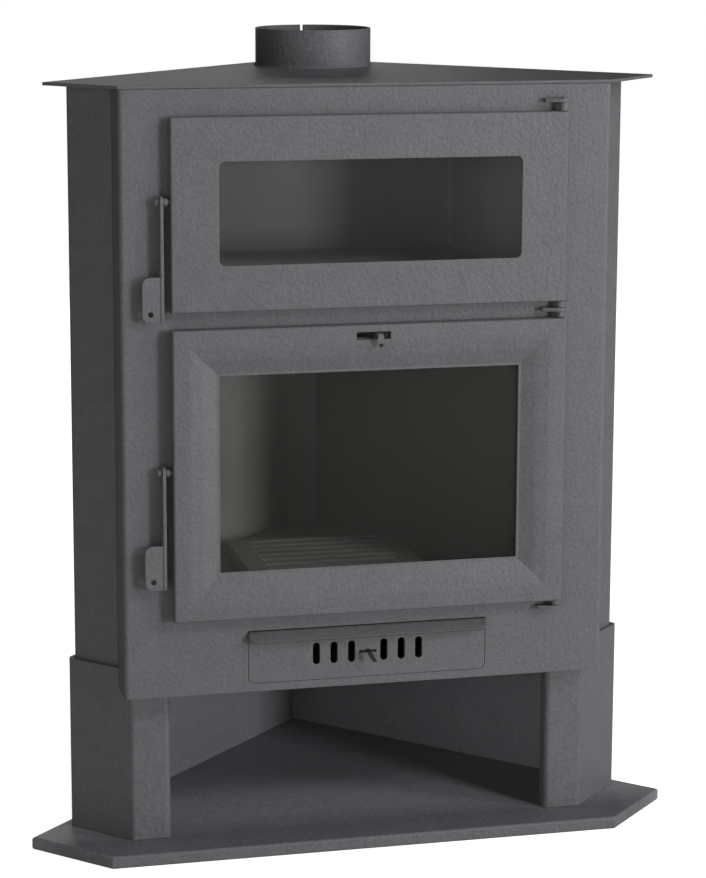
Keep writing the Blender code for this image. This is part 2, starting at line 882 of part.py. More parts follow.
def build_rope(name, rope, low, high, seat):
    radius = (-fit_gap - seat - fit_gap) / 2
    tube = rope_loop(
        door_half_width - rope_inset, low + rope_inset, high - rope_inset, rope_corner,
        seat + fit_gap + radius, radius / math.cos(math.pi / 8),
    )
    return make_object(name, tube, rope, True)


def build_clips(name, steel, lines, low, high):
    # Two clips hold the pane at its foot and two at its head.
    pieces = []
    for edge, way, line in ((low, 1, lines[0]), (high, -1, lines[1])):
        outline = folded(line[::-1], clip_sheet, clip_bend, 2)
        points = [(y, edge + way * inset) for inset, y in outline]
        for spot in (-clip_x, clip_x):
            clip = section(points, spot - clip_width / 2, spot + clip_width / 2)
            pieces.append(make_object(name + "_" + str(len(pieces) + 1), clip, steel))
    return pieces


def build_fire_door(paint, steel, glass, rope, latch_y, latch_z):
    low = fire_door_low
    high = fire_door_high
    half = door_half_width
    front = fire_door_front
    back = front + door_sheet
    bevel_end = fire_band + fire_bevel
    opening = bevel_end + fire_lip
    lip_front = front + fire_bevel_drop
    slope = math.atan2(fire_bevel_drop, fire_bevel)
    skew = door_sheet * math.tan(slope / 2)
    profile = [(0.0, door_back)] + edge_bend(front, door_edge_bend)
    drop = band_softness * fire_bevel_drop / fire_bevel
    profile += [(fire_band - band_softness, front), (fire_band, front + drop / 4)]
    profile += [(fire_band + band_softness, front + drop)]
    profile += [(bevel_end, lip_front), (opening, lip_front), (opening, lip_front + door_sheet)]
    profile += [(bevel_end - skew, lip_front + door_sheet), (fire_band - skew, back)]
    profile += [(door_sheet, back), (door_sheet, door_back)]
    skin = make_object("fire_door_skin", mitred_frame(profile, half, low, high), paint)
    slot_high = second_slot_low_z + second_slot_height
    slot = rectangle(second_slot_low_x, second_slot_high_x, second_slot_low_z, slot_high)
    boolean(skin, make_cutter("cut_second_air", panel(slot, front - cut_reach, back + cut_reach)))
    cut_hinge_holes(skin, "fire_door", low, high)
    cut_latch_hole(skin, "fire_door", latch_y, latch_z)
    pieces = [skin]
    tape_front = lip_front + door_sheet + fit_gap
    glass_front = tape_front + tape_thickness + fit_gap
    glass_back = glass_front + glass_thickness
    glass_inset = opening - glass_overlap
    pieces += build_glass(
        "fire", glass, rope, half - glass_inset, low + glass_inset, high - glass_inset,
        tape_front, glass_front,
    )
    frame_front = back + fit_gap
    frame_back = frame_front + fire_frame_depth
    frame_end = fire_band - fire_frame_gap
    frame_profile = [
        (rear_frame_inset, frame_front), (frame_end, frame_front),
        (frame_end, frame_back), (rear_frame_inset, frame_back),
    ]
    frame = make_object("fire_door_rear_frame", mitred_frame(frame_profile, half, low, high), steel)
    slide_low = second_slot_low_z - second_slide_margin
    recess = rectangle(
        second_slide_low_x - second_travel_left - second_recess_gap,
        second_slide_high_x + second_travel_right + second_recess_gap, slide_low - fit_gap, high,
    )
    recess_back = frame_front + slide_sheet + fit_gap
    boolean(frame, make_cutter("cut_slide_recess", panel(recess, frame_front - cut_reach, recess_back)))
    pieces.append(frame)
    pieces.append(build_rope("fire_door_rope", rope, low, high, frame_back))
    bevel_back = door_sheet / math.cos(slope) + clip_skin_gap
    clip_line = []
    for inset in (clip_inset + fit_gap, glass_inset - clip_step):
        clip_line.append((inset, front + (inset - fire_band) * math.tan(slope) + bevel_back))
    clip_line.append((glass_inset - clip_clearance, glass_back + fit_gap))
    clip_line.append((glass_inset + clip_hold, glass_back + fit_gap))
    pieces += build_clips("fire_glass_clip", steel, [clip_line, clip_line], low, high)
    return pieces


# Handles


def build_handle(name, paint, pin_y, pin_z):
    # A strip that hangs on its pin, with a flat tab at its foot that points away from the door.
    right = -door_half_width - handle_gap
    left = right - handle_sheet
    half = handle_width / 2
    front = pin_y - half
    foot = pin_z - handle_drop
    strip_line = [(front, foot), (front + handle_width, foot)]
    strip_line += arc_points((pin_y, pin_z), half, 0.0, math.pi, 10)
    handle = make_object(name, section(strip_line, left, right), paint)
    tab_left = right - tab_width
    joined = left + handle_sheet / 2
    tab_line = [(joined, foot), (joined, foot + tab_height)]
    high_centre = (tab_left + tab_corner, foot + tab_height - tab_corner)
    low_centre = (tab_left + tab_corner, foot + tab_corner)
    tab_line += arc_points(high_centre, tab_corner, math.pi / 2, math.pi / 2, 5)
    tab_line += arc_points(low_centre, tab_corner, math.pi, math.pi / 2, 5)
    tab_front = front + tab_setback
    tab = panel(tab_line, tab_front, tab_front + handle_sheet)
    boolean(handle, make_cutter("join_" + name, tab), "UNION")
    hole_place = (tab_left + tab_hole_rise, foot + tab_hole_rise)
    hole = circle(hole_place, tab_hole_radius, 16)
    pin_hole = circle((pin_y, pin_z), latch_radius + fit_gap, 16)
    cutter = join(
        panel(hole, front - handle_sheet, front + handle_sheet * 2),
        section(pin_hole, left - handle_sheet, right + handle_sheet),
    )
    return boolean(handle, make_cutter("cut_" + name, cutter))


def build_latch_pin(name, paint, pin_y, pin_z):
    # The handle's pin goes through the door's edge, where a collar keeps it.
    head_end = -door_half_width - handle_gap - handle_sheet - fit_gap
    head_start = head_end - latch_head_length
    inner_end = -door_half_width + latch_entry
    collar = -door_half_width + door_sheet + latch_collar_play
    collar_end = collar + latch_collar_length
    boss = head_end + fit_gap + handle_sheet + fit_gap
    boss_end = boss + latch_boss_length
    profile = [
        (head_start, 0.0), (head_start, latch_head_radius - latch_head_edge),
        (head_start + latch_head_edge, latch_head_radius), (head_end, latch_head_radius),
        (head_end, latch_radius), (boss, latch_radius), (boss, latch_boss_radius),
        (boss_end, latch_boss_radius), (boss_end, latch_radius),
        (collar, latch_radius), (collar, latch_collar_radius),
        (collar_end, latch_collar_radius), (collar_end, latch_radius),
        (inner_end, latch_radius), (inner_end, 0.0),
    ]
    centre = Vector((0.0, pin_y, pin_z))
    return make_object(name, turned(profile, centre, x_axis, 16), paint, True)


# Ash drawer and air controls


def air_slot_centres():
    places = [air_slot_first + air_slot_pitch * index for index in range(air_slots_each_side)]
    return [-place for place in places[::-1]] + places


def build_drawer_front(paint):
    # One sheet: the flush front with the air slots, folded forward and down into the pull.
    slant = lip_length / root_two
    line = [
        (-lip_flat - slant, drawer_high - slant), (-lip_flat, drawer_high),
        (drawer_sheet, drawer_high), (drawer_sheet, drawer_low),
    ]
    outline = folded(line, drawer_sheet, drawer_bend, 3)
    body = section(outline, -drawer_half_width, drawer_half_width)
    lip_end = drawer_sheet - lip_flat - slant
    lip_edges = [
        edge for edge in long_edges(body, lambda spot: spot.y < lip_end)
        if near(edge.verts[0].co.x, edge.verts[1].co.x)
    ]
    bmesh.ops.bevel(body, geom=lip_edges, offset=lip_corner, segments=6, profile=0.5, affect="EDGES")
    foot_edges = [
        edge for edge in long_edges(body, lambda spot: near(spot.z, drawer_low))
        if near(edge.verts[0].co.x, edge.verts[1].co.x)
    ]
    bmesh.ops.bevel(body, geom=foot_edges, offset=drawer_corner, segments=4, profile=0.5, affect="EDGES")
    front = make_object("ash_drawer_front", body, paint)
    cutters = []
    for centre in air_slot_centres():
        outline = slot_outline(centre, air_slot_low, air_slot_low + air_slot_height, air_slot_width)
        cutters.append(panel(outline, -cut_reach, drawer_sheet + cut_reach))
    neck_half = primary_neck_width / 2 + primary_travel + running_gap
    neck_reach = slide_sheet / 2 + primary_neck_gap
    neck = rectangle(-neck_half, neck_half, primary_neck_z - neck_reach, primary_neck_z + neck_reach)
    cutters.append(panel(neck, -cut_reach, drawer_sheet + cut_reach))
    return boolean(front, make_cutter("cut_drawer_slots", join(*cutters)))


def slide_limits():
    half = air_slot_first + air_slot_pitch * (air_slots_each_side - 1) + air_slot_width / 2
    low = air_slot_low - slide_margin
    high = air_slot_low + air_slot_height + slide_margin
    return half + primary_travel + slide_margin / 2, low, high


def tab_line(start, reach, drop, z):
    # The control tab in y and z: straight out through its slot, then turned down.
    return [(start, z), (start - reach, z), (start - reach - drop * tab_rake, z - drop)]


def build_primary_slide(steel):
    half, low, high = slide_limits()
    front = drawer_sheet + fit_gap
    back = front + slide_sheet
    slide = make_object("primary_air_slide", panel(rectangle(-half, half, low, high), front, back), steel)
    width = air_slot_width - slide_window_inset * 2
    windows = []
    for centre in air_slot_centres():
        outline = slot_outline(centre, air_slot_low, air_slot_low + air_slot_height, width)
        windows.append(panel(outline, front - cut_reach, back + cut_reach))
    boolean(slide, make_cutter("cut_primary_windows", join(*windows)))
    start = back - tab_root
    line = tab_line(start, start + primary_tab_reach, primary_tab_drop, primary_neck_z - slide_sheet / 2)
    outline = folded(line, slide_sheet, slide_bend, 3)
    tab = section(outline, -primary_neck_width / 2, primary_neck_width / 2)
    return boolean(slide, make_cutter("join_primary_tab", tab), "UNION")


def build_slide_guide(name, upper, steel):
    half, low, high = slide_limits()
    half -= primary_travel + guide_end_gap
    front = drawer_sheet + fit_gap
    over = front + slide_sheet + fit_gap
    back = over + guide_wall
    if upper:
        seat = high + fit_gap
        points = [
            (front, seat), (front, seat + guide_hold), (back, seat + guide_hold),
            (back, high - guide_hold), (over, high - guide_hold), (over, seat),
        ]
    else:
        seat = low - fit_gap
        points = [
            (front, seat), (over, seat), (over, low + guide_hold),
            (back, low + guide_hold), (back, seat - guide_hold), (front, seat - guide_hold),
        ]
    return make_object(name, section(points, -half, half), steel)


def build_ash_tray(steel):
    half = drawer_half_width - tray_side_gap
    front = drawer_sheet + fit_gap
    low = drawer_low + tray_lift
    back = front + tray_depth
    outer = plate(rectangle(-half, half, front, back), low, low + tray_height)
    tray = make_object("ash_drawer_tray", outer, steel)
    inner = rectangle(-half + tray_sheet, half - tray_sheet, front - cut_reach, back - tray_sheet)
    return boolean(tray, make_cutter("cut_tray_space", plate(inner, low + tray_sheet, low + tray_height + cut_reach)))


def build_runner(name, side, steel):
    tray_half = drawer_half_width - tray_side_gap
    inner = tray_half - runner_width
    guide = tray_half + runner_side_gap
    low = ash_floor_top + fit_gap
    seat = drawer_low + tray_lift - fit_gap
    head = seat + runner_rise
    points = [
        (inner, low), (guide + tray_sheet, low), (guide + tray_sheet, head),
        (guide, head), (guide, seat), (inner, seat),
    ]
    points = [(side * x, z) for x, z in points]
    return make_object(name, panel(points, pan_inner_y, tray_depth - runner_end_gap), steel)


def build_second_slide(paint):
    front = fire_door_front + door_sheet + fit_gap
    back = front + slide_sheet
    low = second_slot_low_z - second_slide_margin
    high = second_slot_low_z + second_slot_height + second_slide_margin
    strip = rectangle(second_slide_low_x, second_slide_high_x, low, high)
    slide = make_object("second_air_slide", panel(strip, front, back), paint)
    tab_left = second_tab_x - second_tab_width / 2
    window = rectangle(
        second_slot_low_x, tab_left - second_window_gap,
        second_slot_low_z, second_slot_low_z + second_slot_height,
    )
    boolean(slide, make_cutter("cut_second_window", panel(window, front - cut_reach, back + cut_reach)))
    neck_z = second_slot_low_z + second_slot_height / 2 + slide_sheet / 2
    start = back - tab_root
    reach = start - fire_door_front + second_tab_reach
    outline = folded(tab_line(start, reach, second_tab_drop, neck_z - slide_sheet), slide_sheet, slide_bend, 3)
    tab = section(outline, tab_left, tab_left + second_tab_width)
    return boolean(slide, make_cutter("join_second_tab", tab), "UNION")


def build_stove():
    remove_everything()
    paint = make_material("stove_paint", (0.135, 0.138, 0.143), 0.62, 0.0)
    inner_paint = make_material("inner_steel", (0.060, 0.058, 0.056), 0.75, 0.0)
    iron = make_material("cast_iron", (0.050, 0.049, 0.048), 0.80, 0.0)
    steel = make_material("dark_steel", (0.075, 0.076, 0.078), 0.55, 0.0)
    glass = make_material("fire_glass", (0.10, 0.10, 0.10), 0.08, 0.0, 0.35)
    rope = make_material("glass_rope", (0.10, 0.10, 0.10), 0.95, 0.0)

    build_base_plate(paint)
    build_log_store_casing(paint)
    build_body_shell(paint)
    build_front_plate(paint)
    build_ash_floor(paint)
    build_top_plate(paint)
    build_flue_collar(paint)
    build_hearth_ledge("hearth_ledge_left", -1, inner_paint)
    build_hearth_ledge("hearth_ledge_right", 1, inner_paint)
    build_hearth_slab(iron)
    build_fire_grate(iron)
    build_liner("liner_left", -1, iron)
    build_liner("liner_right", 1, iron)
    build_liner_back(iron)
    build_baffle_plate(iron)
    build_oven_box(inner_paint)
    build_hinges(paint)
    build_runner("drawer_runner_left", -1, steel)
    build_runner("drawer_runner_right", 1, steel)

    oven_latch_y = (oven_door_front + door_sheet + door_back) / 2
    fire_latch_y = (fire_door_front + door_sheet + door_back) / 2
    oven_latch_z = oven_door_high - oven_latch_drop
    fire_latch_z = fire_door_high - fire_latch_drop
    latch_x = -door_half_width

    oven_hinge = make_pivot("oven_door_hinge_axis", (hinge_x, hinge_y, oven_door_low))
    attach(build_oven_door(paint, steel, glass, rope, oven_latch_y, oven_latch_z), oven_hinge)
    oven_latch = make_pivot("oven_handle_axis", (latch_x, oven_latch_y, oven_latch_z))
    attach([
        build_handle("oven_handle", paint, oven_latch_y, oven_latch_z),
        build_latch_pin("oven_latch_pin", paint, oven_latch_y, oven_latch_z),
    ], oven_latch)
    attach([oven_latch], oven_hinge)

    fire_hinge = make_pivot("fire_door_hinge_axis", (hinge_x, hinge_y, fire_door_low))
    attach(build_fire_door(paint, steel, glass, rope, fire_latch_y, fire_latch_z), fire_hinge)
    fire_latch = make_pivot("fire_handle_axis", (latch_x, fire_latch_y, fire_latch_z))
    attach([
        build_handle("fire_handle", paint, fire_latch_y, fire_latch_z),
        build_latch_pin("fire_latch_pin", paint, fire_latch_y, fire_latch_z),
    ], fire_latch)
    attach([fire_latch], fire_hinge)
    second_axis = make_pivot("second_air_axis", (second_tab_x, fire_door_front, second_slot_low_z))
    attach([build_second_slide(paint)], second_axis)
    attach([second_axis], fire_hinge)

    drawer_axis = make_pivot("ash_drawer_axis", (0.0, 0.0, drawer_low))
    attach([
        build_drawer_front(paint),
        build_ash_tray(steel),
        build_slide_guide("slide_guide_upper", True, steel),
        build_slide_guide("slide_guide_lower", False, steel),
    ], drawer_axis)
    primary_axis = make_pivot("primary_air_axis", (0.0, drawer_sheet, primary_neck_z))
    attach([build_primary_slide(steel)], primary_axis)
    attach([primary_axis], drawer_axis)


build_stove()
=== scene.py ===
import json
import math

import bmesh
import bpy
from mathutils import Matrix, Vector


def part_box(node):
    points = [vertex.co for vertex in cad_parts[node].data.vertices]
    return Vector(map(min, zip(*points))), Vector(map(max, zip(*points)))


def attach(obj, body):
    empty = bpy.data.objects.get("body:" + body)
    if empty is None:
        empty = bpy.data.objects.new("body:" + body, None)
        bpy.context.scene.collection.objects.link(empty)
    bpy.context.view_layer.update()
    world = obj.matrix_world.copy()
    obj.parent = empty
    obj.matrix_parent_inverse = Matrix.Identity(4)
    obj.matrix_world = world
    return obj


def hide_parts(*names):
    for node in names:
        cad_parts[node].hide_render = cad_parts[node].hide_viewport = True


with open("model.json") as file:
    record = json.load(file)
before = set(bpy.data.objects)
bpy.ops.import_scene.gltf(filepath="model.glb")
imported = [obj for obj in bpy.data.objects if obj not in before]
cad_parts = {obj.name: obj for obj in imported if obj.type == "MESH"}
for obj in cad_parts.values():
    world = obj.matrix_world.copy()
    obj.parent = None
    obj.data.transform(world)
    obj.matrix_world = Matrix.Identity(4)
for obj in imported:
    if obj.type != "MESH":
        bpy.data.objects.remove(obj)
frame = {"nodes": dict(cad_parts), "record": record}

scene = bpy.context.scene
scene.view_settings.view_transform = "Standard"
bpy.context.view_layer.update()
nodes = frame["nodes"]
print("frame loaded:", len(nodes), "CAD nodes")


# camera, at the photograph's angle

cameraValues = {
    "place": (-0.7004, -2.9433, 1.1682),
    "turnDegrees": 13.016,  # to the right of straight back
    "tiltDegrees": 9.978,   # downwards
    "rollDegrees": 0.205,
    "lens": 104.70,
    "sensorWidth": 36.0,
    "shiftUp": -0.1105,
    "clip": (0.05, 60.0),
}


def makeCamera(values):
    turn = math.radians(values["turnDegrees"])
    tilt = math.radians(values["tiltDegrees"])
    forward = Vector((math.sin(turn) * math.cos(tilt), math.cos(turn) * math.cos(tilt), -math.sin(tilt)))
    right = Vector((math.cos(turn), -math.sin(turn), 0.0))
    up = right.cross(forward)
    data = bpy.data.cameras.new("photoCamera")
    data.sensor_width = values["sensorWidth"]
    data.lens = values["lens"]
    data.shift_y = values["shiftUp"]
    data.clip_start, data.clip_end = values["clip"]
    camera = bpy.data.objects.new("photoCamera", data)
    axes = Matrix((right, up, -forward)).transposed()
    rolled = axes @ Matrix.Rotation(math.radians(values["rollDegrees"]), 3, "Z")
    camera.matrix_world = Matrix.Translation(values["place"]) @ rolled.to_4x4()
    scene.collection.objects.link(camera)
    scene.camera = camera


# helpers for node trees

def setInputs(tree, node, inputs):
    # an input takes a value, or a link where it is given another node's output
    for key, value in inputs.items():
        if isinstance(value, bpy.types.NodeSocket):
            tree.links.new(value, node.inputs[key])
        else:
            node.inputs[key].default_value = value


def addNode(tree, kind, inputs, **settings):
    node = tree.nodes.new("ShaderNode" + kind)
    for key, value in settings.items():
        setattr(node, key, value)
    setInputs(tree, node, inputs)
    return node


def newMaterial(name):
    material = bpy.data.materials.new(name)
    material.use_nodes = True
    tree = material.node_tree
    return material, tree, tree.nodes["Principled BSDF"]


def solid(colour):
    return (*colour, 1)


# studio: white floor and background, three small lamps at the right, four large weak ones round the stove

studioValues = {
    "floorColour": (0.80, 0.80, 0.80),
    "floorRoughness": 0.9,
    "floorSize": 30.0,
    "floorDrop": 0.0005,    # below the stove's foot
    "floorGlow": 0.92,      # under the stove, where its shadow shows
    "farGlow": 1.0,
    "glowReach": (1.0, 2.4),   # metres from the stove over which the floor turns white
    "worldAmbient": 0.0,    # light from all round, on top of the lamps
    "lampTarget": (0.0, 0.1, 0.5),
    "lampDistance": 4.2,
    "lamps": [
        {"name": "rightKey", "azimuth": 38.0, "elevation": 6.0, "size": 0.8, "power": 62.0},
        {"name": "rightHigh", "azimuth": 40.0, "elevation": 35.0, "size": 0.8, "power": 29.7},
        {"name": "rightSide", "azimuth": 60.0, "elevation": 20.0, "size": 0.8, "power": 38.0},
        {"name": "leftFill", "azimuth": -30.0, "elevation": 6.0, "size": 1.8, "power": 18.0},
        {"name": "leftSide", "azimuth": -60.0, "elevation": 10.0, "size": 1.8, "power": 13.1},
        {"name": "backLow", "azimuth": 175.0, "elevation": 10.0, "size": 1.8, "power": 20.0},
        {"name": "above", "azimuth": 10.0, "elevation": 75.0, "size": 1.8, "power": 27.0},
    ],
}


def makeStudio(values):
    world = bpy.data.worlds.new("studioWorld")
    scene.world = world
    world.use_nodes = True
    tree = world.node_tree
    tree.nodes.clear()
    seen = addNode(tree, "LightPath", {}).outputs["Is Camera Ray"]
    ambient = addNode(tree, "Background", {"Color": (1, 1, 1, 1), "Strength": values["worldAmbient"]})
    white = addNode(tree, "Background", {"Color": (1, 1, 1, 1), "Strength": 1.0})
    mix = addNode(tree, "MixShader", {0: seen, 1: ambient.outputs[0], 2: white.outputs[0]})
    addNode(tree, "OutputWorld", {"Surface": mix.outputs[0]})

    floorMesh = bmesh.new()
    bmesh.ops.create_grid(floorMesh, x_segments=1, y_segments=1, size=values["floorSize"] / 2)
    mesh = bpy.data.meshes.new("studioFloor")
    floorMesh.to_mesh(mesh)
    floorMesh.free()
    floor = bpy.data.objects.new("studioFloor", mesh)
    floor.location.z = -values["floorDrop"]
    scene.collection.objects.link(floor)
    material, tree, surface = newMaterial("paleFloor")
    place = addNode(tree, "TexCoord", {}).outputs["Object"]
    distance = addNode(tree, "VectorMath", {0: place}, operation="LENGTH").outputs["Value"]
    near, far = values["glowReach"]
    reach = addNode(tree, "MapRange", {
        "Value": distance, "From Min": near, "From Max": far,
        "To Min": values["floorGlow"], "To Max": values["farGlow"],
    }).outputs["Result"]
    seen = addNode(tree, "LightPath", {}).outputs["Is Camera Ray"]
    glow = addNode(tree, "Math", {0: seen, 1: reach}, operation="MULTIPLY").outputs[0]
    setInputs(tree, surface, {
        "Base Color": solid(values["floorColour"]), "Roughness": values["floorRoughness"],
        "Specular IOR Level": 0.0, "Emission Color": (1, 1, 1, 1), "Emission Strength": glow,
    })
    mesh.materials.append(material)

    target = Vector(values["lampTarget"])
    for lamp in values["lamps"]:
        azimuth = math.radians(lamp["azimuth"])
        elevation = math.radians(lamp["elevation"])
        ahead = math.cos(elevation)
        away = Vector((math.sin(azimuth) * ahead, -math.cos(azimuth) * ahead, math.sin(elevation)))
        data = bpy.data.lights.new(lamp["name"], "AREA")
        data.shape = "SQUARE"
        data.size = lamp["size"]
        data.energy = lamp["power"]
        item = bpy.data.objects.new(lamp["name"], data)
        facing = away.to_track_quat("Z", "Y").to_matrix().to_4x4()
        item.matrix_world = Matrix.Translation(target + away * values["lampDistance"]) @ facing
        scene.collection.objects.link(item)


makeCamera(cameraValues)
makeStudio(studioValues)
print("camera and studio made")


# finishes

ironSurface = {
    "grainScale": 140.0, "mottleScale": 16.0, "roughness": 0.85, "bump": 0.0003,
    "edgeRadius": 0.002, "edgeAmount": 0.4,
}
paintValues = {
    "stovePaint": {
        "colour": (0.150, 0.153, 0.161), "darker": (0.112, 0.115, 0.121), "edgeColour": (0.24, 0.245, 0.25),
        "grainScale": 215.0, "mottleScale": 38.0, "roughness": 0.55, "bump": 0.0014,
        "edgeRadius": 0.0013, "edgeAmount": 0.7,
    },
    "innerPaint": {
        "colour": (0.460, 0.468, 0.496), "darker": (0.400, 0.407, 0.428), "edgeColour": (0.48, 0.48, 0.49),
        "grainScale": 200.0, "mottleScale": 22.0, "roughness": 0.75, "bump": 0.0002,
        "edgeRadius": 0.001, "edgeAmount": 0.3,
    },
    # a lighter copy of the cast iron for the firebox's left liner: painted light where the key lamp falls
    # on it
    "litLinerIron": {
        **ironSurface,
        "colour": (0.500, 0.503, 0.515), "darker": (0.440, 0.442, 0.450), "edgeColour": (0.52, 0.52, 0.52),
    },
    # a lighter copy of the cast iron for the back liner, the hearth and the grate: painted light
    "litHearthIron": {
        **ironSurface,
        "colour": (0.335, 0.333, 0.330), "darker": (0.290, 0.288, 0.285), "edgeColour": (0.42, 0.42, 0.42),
    },
    "castIron": {
        **ironSurface,
        "colour": (0.158, 0.154, 0.148), "darker": (0.136, 0.133, 0.127), "edgeColour": (0.22, 0.22, 0.22),
    },
    "darkSteel": {
        "colour": (0.085, 0.086, 0.089), "darker": (0.070, 0.071, 0.074), "edgeColour": (0.17, 0.17, 0.17),
        "grainScale": 320.0, "mottleScale": 60.0, "roughness": 0.5, "bump": 0.00012,
        "edgeRadius": 0.0008, "edgeAmount": 0.6,
    },
    # near-black: painted shade on the air slides' plates seen through their slots, the primary slide's tab
    # and the second slide's tip
    "paintedShadeBlack": {
        "colour": (0.016, 0.015, 0.015), "darker": (0.010, 0.010, 0.010), "edgeColour": (0.03, 0.03, 0.03),
        "grainScale": 320.0, "mottleScale": 60.0, "roughness": 0.8, "bump": 0.0001,
        "edgeRadius": 0.0006, "edgeAmount": 0.3,
    },
    "sealRope": {
        "colour": (0.085, 0.083, 0.080), "darker": (0.045, 0.044, 0.043), "edgeColour": (0.10, 0.10, 0.10),
        "grainScale": 520.0, "mottleScale": 120.0, "roughness": 0.95, "bump": 0.0005,
        "edgeRadius": 0.0005, "edgeAmount": 0.1,
    },
}
# painted light: lightens the colour by a share that grows between two depths (y), and below zero darkens
# it, a painted shade;
# faces that look back take none
plainPaint = paintValues["stovePaint"]
# a darker copy of the stove paint for the top plate: painted shade on its top
paintValues["shadedTopPaint"] = {**plainPaint, "colour": (0.138, 0.141, 0.149), "darker": (0.103, 0.106, 0.112)}
# lightened towards the back: painted light on the base plate's top and the log store's inner walls, where
# the lamps reach little; the drawer's lip in front darkened, a painted shade
paintValues["basePaint"] = {**plainPaint, "paintedLight": 0.85, "paintedLightFrom": 0.035, "paintedLightTo": 0.09}
paintValues["casingPaint"] = {**plainPaint, "paintedLight": 0.65, "paintedLightFrom": 0.10, "paintedLightTo": 0.13}
paintValues["drawerPaint"] = {**plainPaint, "paintedLight": -0.32, "paintedLightFrom": -0.001, "paintedLightTo": -0.003}
mixValues = {
    "grainDetail": (2.0, 0.6),      # detail and roughness of the noise
    "mottleDetail": (4.0, 0.55),
    "grainShare": 0.6,
    "mottleShare": (0.06, 0.34),
    "blendRange": (0.35, 0.65),     # of the mixed noise, from the darker colour to the lighter
    "bevelSamples": 4,
    "wearAndHighlightRange": (0.98, 0.80),      # likeness of the true and the rounded normal, from plain faces to rounded edges, which take the lighter edge colour: wear and a painted highlight
    "paintedLightFacing": (0.3, 0.05),      # y of the normal, from faces without the painted light to those with all of it
    "roughGrain": (0.3, 0.7),
    "roughSpread": (-0.06, 0.08),
    "bumpStrength": 0.7,
}


def makePaint(name, values):
    material, tree, surface = newMaterial(name)
    place = addNode(tree, "TexCoord", {}).outputs["Object"]

    def noise(scale, detail, roughness):
        inputs = {"Vector": place, "Scale": scale, "Detail": detail, "Roughness": roughness}
        return addNode(tree, "TexNoise", inputs).outputs["Fac"]

    def spread(source, low, high, toLow, toHigh):
        inputs = {"Value": source, "From Min": low, "From Max": high, "To Min": toLow, "To Max": toHigh}
        return addNode(tree, "MapRange", inputs).outputs["Result"]

    def mixColour(factor, first, second):
        inputs = {"Factor": factor, 6: first, 7: second}
        return addNode(tree, "Mix", inputs, data_type="RGBA").outputs[2]

    def partOf(vector, axis):
        return addNode(tree, "SeparateXYZ", {"Vector": vector}).outputs[axis]

    grain = noise(values["grainScale"], *mixValues["grainDetail"])
    mottle = noise(values["mottleScale"], *mixValues["mottleDetail"])
    both = addNode(tree, "Math", {
        0: grain, 1: mixValues["grainShare"], 2: spread(mottle, 0.0, 1.0, *mixValues["mottleShare"]),
    }, operation="MULTIPLY_ADD").outputs[0]
    blend = spread(both, *mixValues["blendRange"], 0.0, 1.0)
    bevel = addNode(tree, "Bevel", {"Radius": values["edgeRadius"]}, samples=mixValues["bevelSamples"])
    rounded = bevel.outputs["Normal"]
    normal = addNode(tree, "NewGeometry", {}).outputs["Normal"]
    alike = addNode(tree, "VectorMath", {0: rounded, 1: normal}, operation="DOT_PRODUCT").outputs["Value"]
    # rounded edges take the lighter edge colour: wear and a painted highlight
    edge = spread(alike, *mixValues["wearAndHighlightRange"], 0.0, values["edgeAmount"])
    colour = mixColour(blend, solid(values["darker"]), solid(values["colour"]))
    # painted light, lighter or darker with depth (y): the log store's inside lightened, the drawer's lip
    # darkened as painted shade
    if "paintedLight" in values:
        amount = spread(partOf(place, "Y"), values["paintedLightFrom"], values["paintedLightTo"], 0.0, values["paintedLight"])
        taken = spread(partOf(normal, "Y"), *mixValues["paintedLightFacing"], 0.0, 1.0)
        scale = addNode(tree, "Math", {0: amount, 1: taken, 2: 1.0}, operation="MULTIPLY_ADD").outputs[0]
        paintedLightNode = addNode(tree, "VectorMath", {0: colour, "Scale": scale}, operation="SCALE")
        colour = paintedLightNode.outputs["Vector"]
    lowest, highest = [values["roughness"] + share for share in mixValues["roughSpread"]]
    bump = addNode(tree, "Bump", {
        "Strength": mixValues["bumpStrength"], "Distance": values["bump"],
        "Height": grain, "Normal": rounded,
    })
    setInputs(tree, surface, {
        "Base Color": mixColour(edge, colour, solid(values["edgeColour"])),
        "Roughness": spread(grain, *mixValues["roughGrain"], lowest, highest),
        "Normal": bump.outputs["Normal"],
    })
    return material


glassValues = {
    "haze": (0.0066, 0.0060, 0.0053),   # a thin film of soot
    "ior": 1.2,
    "smearScale": 9.0,
    "roughness": (0.03, 0.07),
    "clearTint": (0.80, 0.80, 0.79),
}


def makeGlass(name, values):
    # a thin pane: what is behind it shows straight through, with the haze and the reflection added on top
    material, tree, surface = newMaterial(name)
    place = addNode(tree, "TexCoord", {}).outputs["Object"]
    smear = addNode(tree, "TexNoise", {"Vector": place, "Scale": values["smearScale"]}).outputs["Fac"]
    low, high = values["roughness"]
    rough = addNode(tree, "MapRange", {"Value": smear, "To Min": low, "To Max": high}).outputs["Result"]
    setInputs(tree, surface, {
        "Base Color": solid(values["haze"]), "IOR": values["ior"], "Roughness": rough,
    })
    clear = addNode(tree, "BsdfTransparent", {"Color": solid(values["clearTint"])})
    both = addNode(tree, "AddShader", {0: surface.outputs[0], 1: clear.outputs[0]})
    setInputs(tree, tree.nodes["Material Output"], {"Surface": both.outputs[0]})
    return material


finishes = {name: makePaint(name, values) for name, values in paintValues.items()}
finishes["fireGlass"] = makeGlass("fireGlass", glassValues)
slotFinish = {
    "stove_paint": "stovePaint", "inner_steel": "innerPaint", "cast_iron": "castIron",
    "dark_steel": "darkSteel", "fire_glass": "fireGlass", "glass_rope": "sealRope",
}
